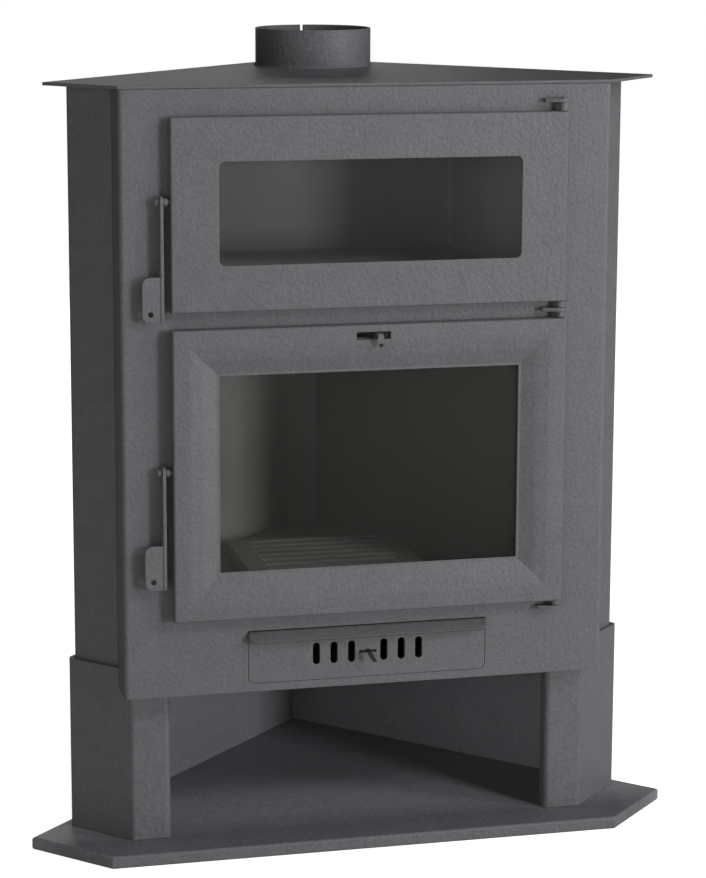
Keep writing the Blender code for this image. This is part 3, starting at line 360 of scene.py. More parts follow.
# lighter copies of the cast iron on the firebox's left liner, back liner and hearth: painted light
nodeFinish = {"liner_left": "litLinerIron", "liner_back": "litHearthIron", "hearth_slab": "litHearthIron"}
for part in frame["record"]["subparts"]:
    item = nodes[part["node"]]
    for slot in item.material_slots:
        slot.material = finishes[nodeFinish.get(part["node"], slotFinish[part["material_slot"]])]
print("finishes made:", ", ".join(finishes))


# shape helpers: outlines as lists of points, closed shapes as bmesh

acrossAxis = Vector((1.0, 0.0, 0.0))
backAxis = Vector((0.0, 1.0, 0.0))
upAxis = Vector((0.0, 0.0, 1.0))
rootTwo = math.sqrt(2.0)
cutReach = 0.01       # how far a cutter stands out of what it cuts
mergeReach = 0.00001  # points this close are one
nearReach = 0.0001    # points this close to a face's height lie on it
fitGap = 0.0003       # between pieces that touch


def arcPoints(centre, radius, start, turn, steps):
    angles = [math.radians(start + turn * step / steps) for step in range(steps + 1)]
    x, y = centre
    return [(x + radius * math.cos(angle), y + radius * math.sin(angle)) for angle in angles]


def circlePoints(centre, radius, steps=40):
    return arcPoints(centre, radius, 0, 360, steps)[:-1]


def squareBox(left, right, low, high):
    return [(left, low), (right, low), (right, high), (left, high)]


def roundedBox(left, right, low, high, radius, steps=8):
    corners = [
        (right - radius, low + radius, -90), (right - radius, high - radius, 0),
        (left + radius, high - radius, 90), (left + radius, low + radius, 180),
    ]
    return [point for x, y, start in corners for point in arcPoints((x, y), radius, start, 90, steps)]


def slotPoints(centre, low, high, width, steps=12):
    radius = width / 2
    head = arcPoints((centre, high - radius), radius, 0, 180, steps)
    return head + arcPoints((centre, low + radius), radius, 180, 180, steps)


def bentSheet(line, thickness, bends, steps=6):
    # the two faces of a folded sheet: the line is one face, the sheet lies to its right
    face, other = [], []
    spots = [Vector(point) for point in line]
    for index, spot in enumerate(spots):
        before = (spot - spots[index - 1]).normalized() if index else None
        after = (spots[index + 1] - spot).normalized() if index < len(spots) - 1 else None
        if before is None or after is None:
            heading = after if before is None else before
            face.append(spot)
            other.append(spot + Vector((heading.y, -heading.x)) * thickness)
            continue
        bend = bends[index - 1] if isinstance(bends, list) else bends
        turn = math.atan2(before.x * after.y - before.y * after.x, before.dot(after))
        inward = Vector((before.y, -before.x))
        side = 1.0 if turn < 0 else -1.0
        faceRadius = bend + thickness if turn < 0 else bend
        otherRadius = bend if turn < 0 else bend + thickness
        centre = spot - before * faceRadius * math.tan(abs(turn) / 2) + inward * side * faceRadius
        for step in range(steps + 1):
            spoke = Matrix.Rotation(turn * step / steps, 2) @ (-inward * side)
            face.append(centre + spoke * faceRadius)
            other.append(centre + spoke * otherRadius)
    return face, other


def sheetOutline(line, thickness, bends, steps=6):
    face, other = bentSheet(line, thickness, bends, steps)
    return face + other[::-1]


def cornerPlan(front, frontHalf, offset, depth):
    # front edge, two sides at 45 degrees and two rear edges that meet in the room's corner
    tip = ((depth + offset) / 2, (depth - offset) / 2)
    return [(-frontHalf, front), (frontHalf, front), tip, (0.0, depth), (-tip[0], tip[1])]


def drawn(points, origin, across, up, along):
    # a closed shape from an outline that is drawn out along one direction
    shape = bmesh.new()
    corners = [shape.verts.new(origin + across * point[0] + up * point[1]) for point in points]
    shape.faces.new(corners)
    grown = bmesh.ops.extrude_face_region(shape, geom=shape.faces[:])
    moved = [item for item in grown["geom"] if isinstance(item, bmesh.types.BMVert)]
    bmesh.ops.translate(shape, verts=moved, vec=along)
    bmesh.ops.recalc_face_normals(shape, faces=shape.faces)
    return shape


def level(points, low, high):
    # the outline is in x and y; in upright it is in x and z, in sideways in y and z
    return drawn(points, upAxis * low, acrossAxis, backAxis, upAxis * (high - low))


def upright(points, front, back):
    return drawn(points, backAxis * front, acrossAxis, upAxis, backAxis * (back - front))


def sideways(points, left, right):
    return drawn(points, acrossAxis * left, backAxis, upAxis, acrossAxis * (right - left))


def turnedShape(profile, centre, axis, steps=40):
    # the profile gives distance along the axis and radius, and starts and ends on the axis
    shape = bmesh.new()
    side = axis.orthogonal().normalized()
    spots = [shape.verts.new(centre + axis * along + side * radius) for along, radius in profile]
    edges = [shape.edges.new(pair) for pair in zip(spots, spots[1:])]
    bmesh.ops.spin(
        shape, geom=spots + edges, cent=centre, axis=axis, angle=math.tau, steps=steps, use_merge=True,
    )
    bmesh.ops.remove_doubles(shape, verts=shape.verts, dist=mergeReach)
    bmesh.ops.recalc_face_normals(shape, faces=shape.faces)
    return shape


def linkLoops(shape, loops, closed):
    # faces between each loop of vertices and the next; a row that isn't closed gets its two end faces
    following = loops[1:] + loops[:1] if closed else loops[1:]
    for first, second in zip(loops, following):
        for index, spot in enumerate(first):
            shape.faces.new((first[index - 1], spot, second[index], second[index - 1]))
    if not closed:
        shape.faces.new(loops[0])
        shape.faces.new(loops[-1])
    bmesh.ops.recalc_face_normals(shape, faces=shape.faces)
    return shape


def ringShape(profile, loopAt, closed=True):
    # a section carried round a closed loop: loopAt gives the loop's points for one profile point
    shape = bmesh.new()
    loops = [[shape.verts.new(spot) for spot in loopAt(*point)] for point in profile]
    return linkLoops(shape, loops, closed)


def boxLoop(left, right, low, high):
    # rings for ringShape round an upright rectangle, from inset and depth
    def loopAt(inset, depth):
        corners = squareBox(left + inset, right - inset, low + inset, high - inset)
        return [(x, depth, z) for x, z in corners]
    return loopAt


def joinedShapes(*shapes):
    whole = bmesh.new()
    for shape in shapes:
        mesh = bpy.data.meshes.new("share")
        shape.to_mesh(mesh)
        shape.free()
        whole.from_mesh(mesh)
        bpy.data.meshes.remove(mesh)
    return whole


def roundEdges(shape, chosen, width, segments, clamped=True):
    bmesh.ops.bevel(
        shape, geom=chosen, offset=width, segments=segments, profile=0.5, affect="EDGES",
        material=-1, clamp_overlap=clamped,
    )


def booleanShape(shape, other, operation="DIFFERENCE"):
    # cuts the second closed shape out of the first, or joins the two
    items = []
    for source in (shape, other):
        mesh = bpy.data.meshes.new("share")
        source.to_mesh(mesh)
        source.free()
        item = bpy.data.objects.new("share", mesh)
        scene.collection.objects.link(item)
        items.append(item)
    step = items[0].modifiers.new("step", "BOOLEAN")
    step.operation = operation
    step.solver = "EXACT"
    step.object = items[1]
    bpy.context.view_layer.update()
    solved = items[0].evaluated_get(bpy.context.evaluated_depsgraph_get())
    result = bmesh.new()
    result.from_mesh(solved.data)
    for item in items:
        mesh = item.data
        bpy.data.objects.remove(item)
        bpy.data.meshes.remove(mesh)
    return result


bevelAngle = 38.0    # degrees between two faces from which their edge is rounded
normalWeight = 100   # how strongly the large faces set the shading of the rounded edges


def finishPiece(
    name, shape, replaced, edge, body="stove_body", slotName="stove_paint", finish=None,
    segments=3, crease=24.0,
):
    bmesh.ops.remove_doubles(shape, verts=shape.verts, dist=mergeReach)
    bmesh.ops.recalc_face_normals(shape, faces=shape.faces)
    for side in shape.edges:
        turn = math.degrees(side.calc_face_angle(0.0))
        # creases stay crisp, and sharper edges get the bevel
        side.smooth = turn < crease or turn > bevelAngle
    mesh = bpy.data.meshes.new(name)
    shape.to_mesh(mesh)
    shape.free()
    mesh.polygons.foreach_set("use_smooth", [True] * len(mesh.polygons))
    mesh.materials.append(finishes[finish or slotFinish[slotName]])
    item = bpy.data.objects.new(name, mesh)
    scene.collection.objects.link(item)
    if edge:
        soft = item.modifiers.new("softEdges", "BEVEL")
        soft.width = edge
        soft.segments = segments
        soft.limit_method = "ANGLE"
        soft.angle_limit = math.radians(bevelAngle)
        soft.use_clamp_overlap = False
        even = item.modifiers.new("evenNormals", "WEIGHTED_NORMAL")
        even.weight = normalWeight
        even.keep_sharp = True
    else:
        mesh.set_sharp_from_angle(angle=math.radians(bevelAngle))
    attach(item, body)
    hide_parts(*replaced)


# body in plan: the rear walls lie on x + y = depth, the side walls on x - y = sideOffset

planValues = {"depth": 0.456, "sideOffset": 0.245}


# base plate: a shallow tray with a folded rim, turned in at its foot

baseValues = {"sheet": 0.003, "hem": 0.028, "bend": 0.0002, "softEdge": 0.0006}


def makeBasePlate(values):
    low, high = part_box("base_plate")
    depth = high.y
    offset = high.x * 2 - depth
    line = [(values["hem"], 0.0), (0.0, 0.0), (0.0, high.z), (values["hem"], high.z)]
    face, other = bentSheet(line, values["sheet"], values["bend"])

    def loopAt(inset, z):
        side = offset - inset * rootTwo
        front = low.y + inset
        return [(x, y, z) for x, y in cornerPlan(front, side + front, side, depth - inset * rootTwo)]

    shape = ringShape(face[::-1] + other, loopAt, closed=False)
    # the tray's top is lightened towards the back: painted light under the log store
    finishPiece("basePlateFolded", shape, ["base_plate"], values["softEdge"], finish="basePaint")


# log store casing: rear walls and front posts from one folded sheet

casingValues = {
    "sheet": 0.005, "bend": 0.0025, "postFace": 0.0345, "postWidth": 0.047, "postReturn": 0.020,
    "softEdge": 0.0005,
}


def makeCasing(values):
    low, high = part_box("log_store_casing")
    frontLow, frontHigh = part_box("front_plate")
    depth = planValues["depth"] + (values["sheet"] + fitGap) * rootTwo
    offset = planValues["sideOffset"] + (values["sheet"] + fitGap) * rootTwo
    tip = ((depth + offset) / 2, (depth - offset) / 2)
    corner = (values["postFace"] + offset, values["postFace"])
    inner = corner[0] - values["postWidth"]
    right = [(inner, values["postFace"] + values["postReturn"]), (inner, values["postFace"]), corner, tip]
    line = [(-x, y) for x, y in right] + [(0.0, depth)] + right[::-1]
    shape = level(sheetOutline(line, values["sheet"], values["bend"], steps=8), low.z, high.z)
    edge = frontHigh.x + fitGap
    back = frontHigh.y + fitGap
    postEdge = frontHigh.x - values["postReturn"]
    postBack = values["postFace"] + values["postReturn"] + values["sheet"]
    side = [(edge, -cutReach), (edge, back), (postEdge, back), (postEdge, postBack)]
    below = side + [(-x, y) for x, y in side[::-1]]
    shape = booleanShape(shape, level(below, frontLow.z - fitGap, high.z + cutReach))
    # the inner walls are lightened towards the back: painted light
    finishPiece("casingFolded", shape, ["log_store_casing"], values["softEdge"], finish="casingPaint")


# body shell: the walls behind the front plate

shellValues = {"sheet": 0.004, "bend": 0.003, "softEdge": 0.0006}


def makeShell(values):
    low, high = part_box("body_shell")
    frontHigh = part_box("front_plate")[1]
    depth = planValues["depth"]
    offset = planValues["sideOffset"]
    tip = ((depth + offset) / 2, (depth - offset) / 2)
    start = (frontHigh.x + fitGap, frontHigh.x + fitGap - offset)
    line = [(-start[0], start[1]), (-tip[0], tip[1]), (0.0, depth), tip, start]
    shape = level(sheetOutline(line, values["sheet"], values["bend"], steps=8), low.z, high.z)
    finishPiece("shellFolded", shape, ["body_shell"], values["softEdge"])


# front plate with the mouths of the oven, the firebox and the ash drawer

frontValues = {
    "sheet": 0.004, "bend": 0.0022, "softEdge": 0.0006,
    "mouthHalfWidth": 0.203, "mouthCorner": 0.010, "fireMouthMargin": 0.031,
    "ovenFloor": 0.7145, "ovenCeiling": 0.8835, "drawerGap": 0.0005, "drawerCorner": 0.007,
}


def makeFrontPlate(values):
    low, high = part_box("front_plate")
    half = high.x
    fireLow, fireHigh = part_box("fire_door_skin")
    line = [(half, high.y), (half, 0.0), (-half, 0.0), (-half, high.y)]
    shape = level(sheetOutline(line, values["sheet"], values["bend"], steps=8), low.z, high.z)
    mouth = values["mouthHalfWidth"]
    corner = values["mouthCorner"]
    margin = values["fireMouthMargin"]
    drawerLow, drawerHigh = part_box("ash_drawer_front")
    gap = values["drawerGap"]
    edge = drawerHigh.x + gap
    foot = drawerLow.z - gap
    head = drawerHigh.z + gap
    radius = values["drawerCorner"] + gap
    drawerMouth = [(edge, head), (-edge, head)]
    drawerMouth += arcPoints((radius - edge, foot + radius), radius, 180, 90, steps=8)
    drawerMouth += arcPoints((edge - radius, foot + radius), radius, -90, 90, steps=8)
    cutters = joinedShapes(*[upright(points, -cutReach, values["sheet"] + cutReach) for points in (
        roundedBox(-mouth, mouth, values["ovenFloor"], values["ovenCeiling"], corner),
        roundedBox(-mouth, mouth, fireLow.z + margin, fireHigh.z - margin, corner),
        drawerMouth,
    )])
    shape = booleanShape(shape, cutters)
    finishPiece("frontPlateFolded", shape, ["front_plate"], values["softEdge"])


# top plate and flue collar, rolled from one strip with an open seam at its back

topValues = {
    "wall": 0.003, "seamWidth": 0.0035, "boreSteps": 96, "rollSteps": 160, "softEdge": 0.0007,
    "weldRadius": 0.0016, "weldSwell": 0.14, "weldLumps": 150, "lumpSteps": 4, "weldSides": 8,
}


def makeTop(values):
    low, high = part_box("top_plate")
    collarLow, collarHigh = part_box("flue_collar")
    radius = collarHigh.x
    centre = (0.0, (collarLow.y + collarHigh.y) / 2)
    plan = cornerPlan(low.y, high.x * 2 - high.y + low.y, high.x * 2 - high.y, high.y)
    bore = circlePoints(centre, radius - values["wall"], values["boreSteps"])
    shape = booleanShape(level(plan, low.z, high.z), level(bore, low.z - cutReach, high.z + cutReach))
    # the top plate takes a darker copy of the stove paint: painted shade
    finishPiece("topPlateSoft", shape, ["top_plate"], values["softEdge"], finish="shadedTopPaint")
    halfSeam = math.degrees(math.asin(values["seamWidth"] / 2 / radius))
    turn = 360 - halfSeam * 2
    steps = values["rollSteps"]
    outline = arcPoints(centre, radius, 90 + halfSeam, turn, steps)
    outline += arcPoints(centre, radius - values["wall"], 90 + halfSeam + turn, -turn, steps)
    shape = level(outline, collarLow.z, collarHigh.z)
    finishPiece("flueCollarRolled", shape, ["flue_collar"], values["softEdge"])
    weld = bmesh.new()
    rings = []
    total = values["weldLumps"] * values["lumpSteps"]
    for number in range(total):
        angle = math.tau * number / total
        swell = 1.0 + values["weldSwell"] * math.cos(math.tau * number / values["lumpSteps"])
        out = Vector((math.cos(angle), math.sin(angle), 0.0))
        middle = Vector((*centre, collarLow.z)) + out * radius
        ring = circlePoints((0.0, 0.0), values["weldRadius"] * swell, values["weldSides"])
        rings.append([weld.verts.new(middle + out * across + upAxis * rise) for across, rise in ring])
    finishPiece("flueWeld", linkLoops(weld, rings, closed=True), [], edge=0)


makeBasePlate(baseValues)
makeCasing(casingValues)
makeShell(shellValues)
makeFrontPlate(frontValues)
makeTop(topValues)
print("body pieces made")


# hinges: a flat bracket, round at its nose, and a turned pin with collars

hingeValues = {
    "pinRadius": 0.0027, "collarRadius": 0.005, "nose": 0.0065, "taper": 0.008, "pinChamfer": 0.0004,
    "softEdge": 0.0004,
}


def makeHinges(values):
    pinLow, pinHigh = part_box("hinge_pin_middle")
    x = (pinLow.x + pinHigh.x) / 2
    y = (pinLow.y + pinHigh.y) / 2
    nose = values["nose"]
    for place in ("top", "middle", "bottom"):
        low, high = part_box("hinge_bracket_" + place)
        outline = [(low.x, high.y), (low.x, y), (x - values["taper"], y - nose)]
        outline += arcPoints((x, y), nose, -90, 90, steps=14) + [(x + nose, high.y)]
        shape = booleanShape(
            level(outline, low.z, high.z),
            level(circlePoints((x, y), values["pinRadius"] + fitGap), low.z - cutReach, high.z + cutReach),
        )
        finishPiece("hingeBracket" + place.title(), shape, ["hinge_bracket_" + place], values["softEdge"])
    doors = {"oven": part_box("oven_door_skin"), "fire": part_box("fire_door_skin")}
    brackets = {place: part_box("hinge_bracket_" + place) for place in ("top", "middle", "bottom")}
    collars = {
        "top": [(doors["oven"][1].z, brackets["top"][0].z)],
        "middle": [
            (doors["fire"][1].z, brackets["middle"][0].z), (brackets["middle"][1].z, doors["oven"][0].z),
        ],
        "bottom": [(brackets["bottom"][1].z, doors["fire"][0].z)],
    }
    small, wide, chamfer = values["pinRadius"], values["collarRadius"], values["pinChamfer"]
    for place, stretches in collars.items():
        low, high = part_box("hinge_pin_" + place)
        profile = [(low.z, 0.0), (low.z, small - chamfer), (low.z + chamfer, small)]
        for start, end in stretches:
            start += fitGap
            end -= fitGap
            profile += [(start, small), (start, wide - chamfer), (start + chamfer, wide)]
            profile += [(end - chamfer, wide), (end, wide - chamfer), (end, small)]
        profile += [(high.z - chamfer, small), (high.z, small - chamfer), (high.z, 0.0)]
        pin = turnedShape(profile, Vector((x, y, 0.0)), upAxis, steps=36)
        finishPiece("hingePin" + place.title(), pin, ["hinge_pin_" + place], edge=0)


# doors: pressed pans; the firebox door's face falls back towards its glass

doorValues = {
    "sheet": 0.0025, "edgeBend": 0.0003, "hingeHole": 0.00295, "latchHole": 0.00325, "softEdge": 0.0006,
    "faceInset": 0.05,   # how far the oven door's edge section runs in over its face
    "windowMargin": 0.0574, "windowLowMargin": 0.0553, "windowHighMargin": 0.0527, "windowCorner": 0.007,
    "band": 0.0195, "lip": 0.0034,
    "brow": (0.0365, 0.0028), "bevelEnd": (0.054, 0.0095),      # distance in from the edge, depth
    "bandBend": 0.05, "browBend": 0.03, "lipBend": 0.0012,
    "crease": 9.0,   # degrees from which the firebox door's faces meet in a crisp line
    "slot": (-0.0197, 0.0219, 0.6424, 0.6514), "slotCorner": 0.0006,   # left, right, foot, head
}


def doorHoles(values, door, low, high):
    # the hinge pins enter at the foot and the head, the latch pin through the left edge
    pinLow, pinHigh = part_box("hinge_pin_middle")
    hinge = ((pinLow.x + pinHigh.x) / 2, (pinLow.y + pinHigh.y) / 2)
    latchLow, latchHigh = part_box(door + "_latch_pin")
    latch = ((latchLow.y + latchHigh.y) / 2, (latchLow.z + latchHigh.z) / 2)
    outline = circlePoints(hinge, values["hingeHole"], steps=32)
    return joinedShapes(
        level(outline, low.z - cutReach, low.z + cutReach),
        level(outline, high.z - cutReach, high.z + cutReach),
        sideways(
            circlePoints(latch, values["latchHole"], steps=32), low.x - cutReach, low.x + cutReach,
        ),
    )


def makeOvenDoor(values):
    low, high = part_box("oven_door_skin")
    sheet = values["sheet"]
    line = [(values["faceInset"], low.y), (0.0, low.y), (0.0, high.y)]
    section = sheetOutline(line, sheet, values["edgeBend"])
    shape = ringShape(section, boxLoop(low.x, high.x, low.z, high.z), closed=False)
    margin = values["windowMargin"]
    foot = low.z + values["windowLowMargin"]
    head = high.z - values["windowHighMargin"]
    window = roundedBox(low.x + margin, high.x - margin, foot, head, values["windowCorner"])
    shape = booleanShape(shape, upright(window, low.y - cutReach, high.y))
    shape = booleanShape(shape, doorHoles(values, "oven", low, high))
    finishPiece("ovenDoorPressed", shape, ["oven_door_skin"], values["softEdge"], body="oven_door")


def makeFireDoor(values):
    low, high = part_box("fire_door_skin")
    sheet = values["sheet"]
    browAcross, browDrop = values["brow"]
    endAcross, endDrop = values["bevelEnd"]
    lipDepth = low.y + endDrop
    line = [
        (endAcross + values["lip"], lipDepth), (endAcross, lipDepth), (browAcross, low.y + browDrop),
        (values["band"], low.y), (0.0, low.y), (0.0, high.y),
    ]
    bends = [values["lipBend"], values["browBend"], values["bandBend"], values["edgeBend"]]
    section = sheetOutline(line, sheet, bends)
    shape = ringShape(section, boxLoop(low.x, high.x, low.z, high.z))
    left, right, foot, head = values["slot"]
    outline = roundedBox(left, right, foot, head, values["slotCorner"], steps=3)
    slot = upright(outline, low.y - cutReach, low.y + cutReach)
    shape = booleanShape(shape, joinedShapes(slot, doorHoles(values, "fire", low, high)))
    finishPiece(
        "fireDoorPressed", shape, ["fire_door_skin"], values["softEdge"],
        body="fire_door", crease=values["crease"],
    )


# sealing ropes: three strands twisted round each other, laid in a rounded rectangle

ropeValues = {
    "corner": 0.012, "strands": 3, "twistLength": 0.016, "step": 0.0022,
    "strandShare": 0.56,   # a strand's radius, as a share of the rope's
    "roundness": 2,
}


def makeRope(values, name, node, body):
    low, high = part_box(node)
    radius = (high.y - low.y) / 2
    middle = (low.y + high.y) / 2
    path = roundedBox(
        low.x + radius, high.x - radius, low.z + radius, high.z - radius, values["corner"], steps=10,
    )
    lengths = [0.0]
    for start, end in zip(path, path[1:] + path[:1]):
        lengths.append(lengths[-1] + math.dist(start, end))
    total = lengths[-1]
    turns = round(total / values["twistLength"])
    count = int(total / values["step"])
    curve = bpy.data.curves.new(name, "CURVE")
    curve.dimensions = "3D"
    strand = radius * values["strandShare"]
    curve.bevel_depth = strand
    curve.bevel_resolution = values["roundness"]
    for number in range(values["strands"]):
        spline = curve.splines.new("POLY")
        spline.points.add(count - 1)
        spline.use_cyclic_u = True
        piece = 0
        for index in range(count):
            along = total * index / count
            while lengths[piece + 1] < along:
                piece += 1
            start = Vector(path[piece])
            end = Vector(path[(piece + 1) % len(path)])
            heading = (end - start).normalized()
            spot = start + heading * (along - lengths[piece])
            angle = math.tau * (turns * along / total + number / values["strands"])
            out = Vector((heading.y, -heading.x)) * math.cos(angle) * (radius - strand)
            depth = middle + math.sin(angle) * (radius - strand)
            spline.points[index].co = (spot.x + out.x, depth, spot.y + out.y, 1)
    curve.materials.append(finishes["sealRope"])
    item = bpy.data.objects.new(name, curve)
    scene.collection.objects.link(item)
    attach(item, body)
    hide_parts(node)


# handles: a strip on its pin, with a flat tab and its hole at the foot

handleValues = {
    "sheet": 0.004, "tabHeight": 0.054, "tabWidth": 0.026, "tabCorner": 0.009, "tabSetback": 0.001,
    "holeRadius": 0.00325, "holeRise": 0.010, "pinRadius": 0.003, "headRadius": 0.004, "chamfer": 0.0007,
    # rounded head: steps along the pin and short of its radius, counted in chamfers
    "headRound": [(0.0, 1.6), (0.5, 0.5), (1.4, 0.0)],
    "bossRadius": 0.005, "bossLength": 0.005, "softEdge": 0.0005,
    "collarRadius": 0.0042, "collarLength": 0.003, "collarStart": 0.003,
}


def makeHandle(values, door):
    low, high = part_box(door + "_handle")
    pinLow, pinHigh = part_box(door + "_latch_pin")
    body = door + "_lever"
    pinY = (pinLow.y + pinHigh.y) / 2
    pinZ = (pinLow.z + pinHigh.z) / 2
    half = (high.y - low.y) / 2
    left = high.x - values["sheet"]
    outline = [(low.y, low.z), (high.y, low.z)] + arcPoints((pinY, pinZ), half, 0, 180, steps=24)
    strip = sideways(outline, left, high.x)
    corner = values["tabCorner"]
    tabLeft = high.x - values["tabWidth"]
    joint = left + values["sheet"] / 2
    tabTop = low.z + values["tabHeight"]
    tab = [(joint, low.z), (joint, tabTop)]
    tab += arcPoints((tabLeft + corner, tabTop - corner), corner, 90, 90, steps=12)
    tab += arcPoints((tabLeft + corner, low.z + corner), corner, 180, 90, steps=12)
    tabFront = low.y + values["tabSetback"]
    shape = booleanShape(strip, upright(tab, tabFront, tabFront + values["sheet"]), "UNION")
    rise = values["holeRise"]
    hole = circlePoints((tabLeft + rise, low.z + rise), values["holeRadius"], steps=32)
    pinHole = circlePoints((pinY, pinZ), values["pinRadius"] + fitGap, steps=32)
    shape = booleanShape(shape, joinedShapes(
        upright(hole, tabFront - cutReach, tabFront + cutReach),
        sideways(pinHole, left - cutReach, high.x + cutReach),
    ))
    finishPiece(door + "HandleStrip", shape, [door + "_handle"], values["softEdge"], body=body)

    small, head, chamfer = values["pinRadius"], values["headRadius"], values["chamfer"]
    headEnd = left - fitGap
    boss = high.x + fitGap
    bossEnd = boss + values["bossLength"]
    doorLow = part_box(door + "_door_skin")[0]
    collar = doorLow.x + values["collarStart"]
    collarEnd = collar + values["collarLength"]
    wide, ring = values["bossRadius"], values["collarRadius"]
    profile = [(pinLow.x, 0.0)]
    for along, short in values["headRound"]:
        profile.append((pinLow.x + chamfer * along, head - chamfer * short))
    profile += [
        (headEnd, head), (headEnd, small), (boss, small), (boss, wide - chamfer), (boss + chamfer, wide),
        (bossEnd - chamfer, wide), (bossEnd, wide - chamfer), (bossEnd, small), (collar, small),
        (collar, ring), (collarEnd, ring), (collarEnd, small), (pinHigh.x - chamfer, small),
        (pinHigh.x, small - chamfer), (pinHigh.x, 0.0),
    ]
    pin = turnedShape(profile, Vector((0.0, pinY, pinZ)), acrossAxis)
    finishPiece(door + "LatchPinTurned", pin, [door + "_latch_pin"], edge=0, body=body)


makeHinges(hingeValues)
makeOvenDoor(doorValues)
makeFireDoor(doorValues)
makeRope(ropeValues, "ovenDoorRopeTwisted", "oven_door_rope", "oven_door")
makeRope(ropeValues, "fireDoorRopeTwisted", "fire_door_rope", "fire_door")
makeHandle(handleValues, "oven")
makeHandle(handleValues, "fire")
print("doors, hinges and handles made")


# ash drawer: the front with its slots and pull, the tray and the primary air slide

drawerValues = {
    "sheet": 0.003, "bend": 0.0012, "corner": 0.007, "softEdge": 0.0004, "thinEdge": 0.0003,
    "lipFlat": 0.003, "lipLength": 0.0152, "lipCorner": 0.008,
    "slotWidth": 0.009, "slotLow": 0.2375, "slotHigh": 0.265,
    "slotFirst": 0.0203, "slotPitch": 0.0221, "slotsEachSide": 3,
    "neck": (-0.01075, 0.01075, 0.2486, 0.2518),   # opening for the slide's tab: left, right, foot, head
    "traySheet": 0.002, "trayBend": 0.003,
    "slideSheet": 0.002, "slideBend": 0.001, "slideMargin": 0.006, "windowInset": 0.0005,
    "tabWidth": 0.005, "tabReach": 0.012, "tabDrop": 0.011, "tabRoot": 0.0006, "neckHeight": 0.2502,
    "tabRake": 0.3, "tabLean": 0.6,   # share of the drop by which the tab leans forward and to the right
}


def slotCutters(values, width, front, back):
    spots = [values["slotFirst"] + values["slotPitch"] * index for index in range(values["slotsEachSide"])]
    return joinedShapes(*[
        upright(slotPoints(spot, values["slotLow"], values["slotHigh"], width), front, back)
        for spot in [-spot for spot in spots] + spots
    ])


def sideEdges(shape, test):
    # edges that lie in one plane of equal x, so at the piece's left or right end
    found = []
    for edge in shape.edges:
        first, second = (vert.co for vert in edge.verts)
        if abs(first.x - second.x) < mergeReach and test(first) and test(second):
            found.append(edge)
    return found


def makeDrawer(values):
    low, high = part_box("ash_drawer_front")
    sheet = values["sheet"]
    slant = values["lipLength"] / rootTwo
    flat = values["lipFlat"]
    line = [(-flat - slant, high.z - slant), (-flat, high.z), (sheet, high.z), (sheet, low.z)]
    shape = sideways(sheetOutline(line, sheet, values["bend"]), low.x, high.x)
    lipEnd = sheet - flat - slant
    lip = sideEdges(shape, lambda spot: spot.y < lipEnd)
    roundEdges(shape, lip, values["lipCorner"], segments=12, clamped=False)
    foot = sideEdges(shape, lambda spot: spot.z < low.z + nearReach)
    roundEdges(shape, foot, values["corner"], segments=10, clamped=False)
    left, right, neckLow, neckHigh = values["neck"]
    neck = upright(squareBox(left, right, neckLow, neckHigh), -cutReach, sheet + cutReach)
    cutters = joinedShapes(slotCutters(values, values["slotWidth"], -cutReach, sheet + cutReach), neck)
    shape = booleanShape(shape, cutters)
    # the lip in front is darkened: painted shade
    finishPiece(
        "drawerFrontFolded", shape, ["ash_drawer_front"], values["softEdge"],
        body="ash_drawer", finish="drawerPaint",
    )

    trayLow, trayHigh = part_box("ash_drawer_tray")
    sheet = values["traySheet"]
    bend = values["trayBend"]
    outer = level(squareBox(trayLow.x, trayHigh.x, trayLow.y, trayHigh.y), trayLow.z, trayHigh.z)
    corners = [edge for edge in outer.edges if all(
        vert.co.y > trayLow.y + bend / 2 and abs(vert.co.x) > trayHigh.x - bend / 2 for vert in edge.verts
    )]
    roundEdges(outer, corners, bend, segments=6)
    inner = level(
        squareBox(trayLow.x + sheet, trayHigh.x - sheet, trayLow.y - cutReach, trayHigh.y - sheet),
        trayLow.z + sheet, trayHigh.z + cutReach,
    )
    finishPiece(
        "ashTrayFolded", booleanShape(outer, inner), ["ash_drawer_tray"], values["thinEdge"],
        body="ash_drawer", slotName="dark_steel",
    )


def controlTab(values, left, right, start, reach, drop, height):
    tip = start - reach - drop * values["tabRake"]
    line = [(start, height), (start - reach, height), (tip, height - drop)]
    return sideways(sheetOutline(line, values["slideSheet"], values["slideBend"]), left, right)


def makePrimarySlide(values):
    low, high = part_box("primary_air_slide")
    sheet = values["slideSheet"]
    front = high.y - sheet
    plateLow = values["slotLow"] - values["slideMargin"]
    plateHigh = values["slotHigh"] + values["slideMargin"]
    shape = upright(squareBox(low.x, high.x, plateLow, plateHigh), front, high.y)
    width = values["slotWidth"] - values["windowInset"] * 2
    shape = booleanShape(shape, slotCutters(values, width, front - cutReach, high.y + cutReach))
    half = values["tabWidth"] / 2
    start = high.y - values["tabRoot"]
    reach = start + values["tabReach"]
    top = values["neckHeight"] + sheet / 2
    tab = controlTab(values, -half, half, start, reach, values["tabDrop"], top)
    # the plate and the tab are near-black: painted shade
    paintedShadeSettings = {"body": "primary_air", "slotName": "dark_steel", "finish": "paintedShadeBlack"}
    finishPiece("primarySlidePlate", shape, ["primary_air_slide"], values["thinEdge"], **paintedShadeSettings)
    for vert in tab.verts:
        vert.co.x += max(0.0, values["neckHeight"] - vert.co.z) * values["tabLean"]
    finishPiece("primarySlideTab", tab, [], values["thinEdge"], **paintedShadeSettings)


# secondary air slide, behind the slot in the firebox door

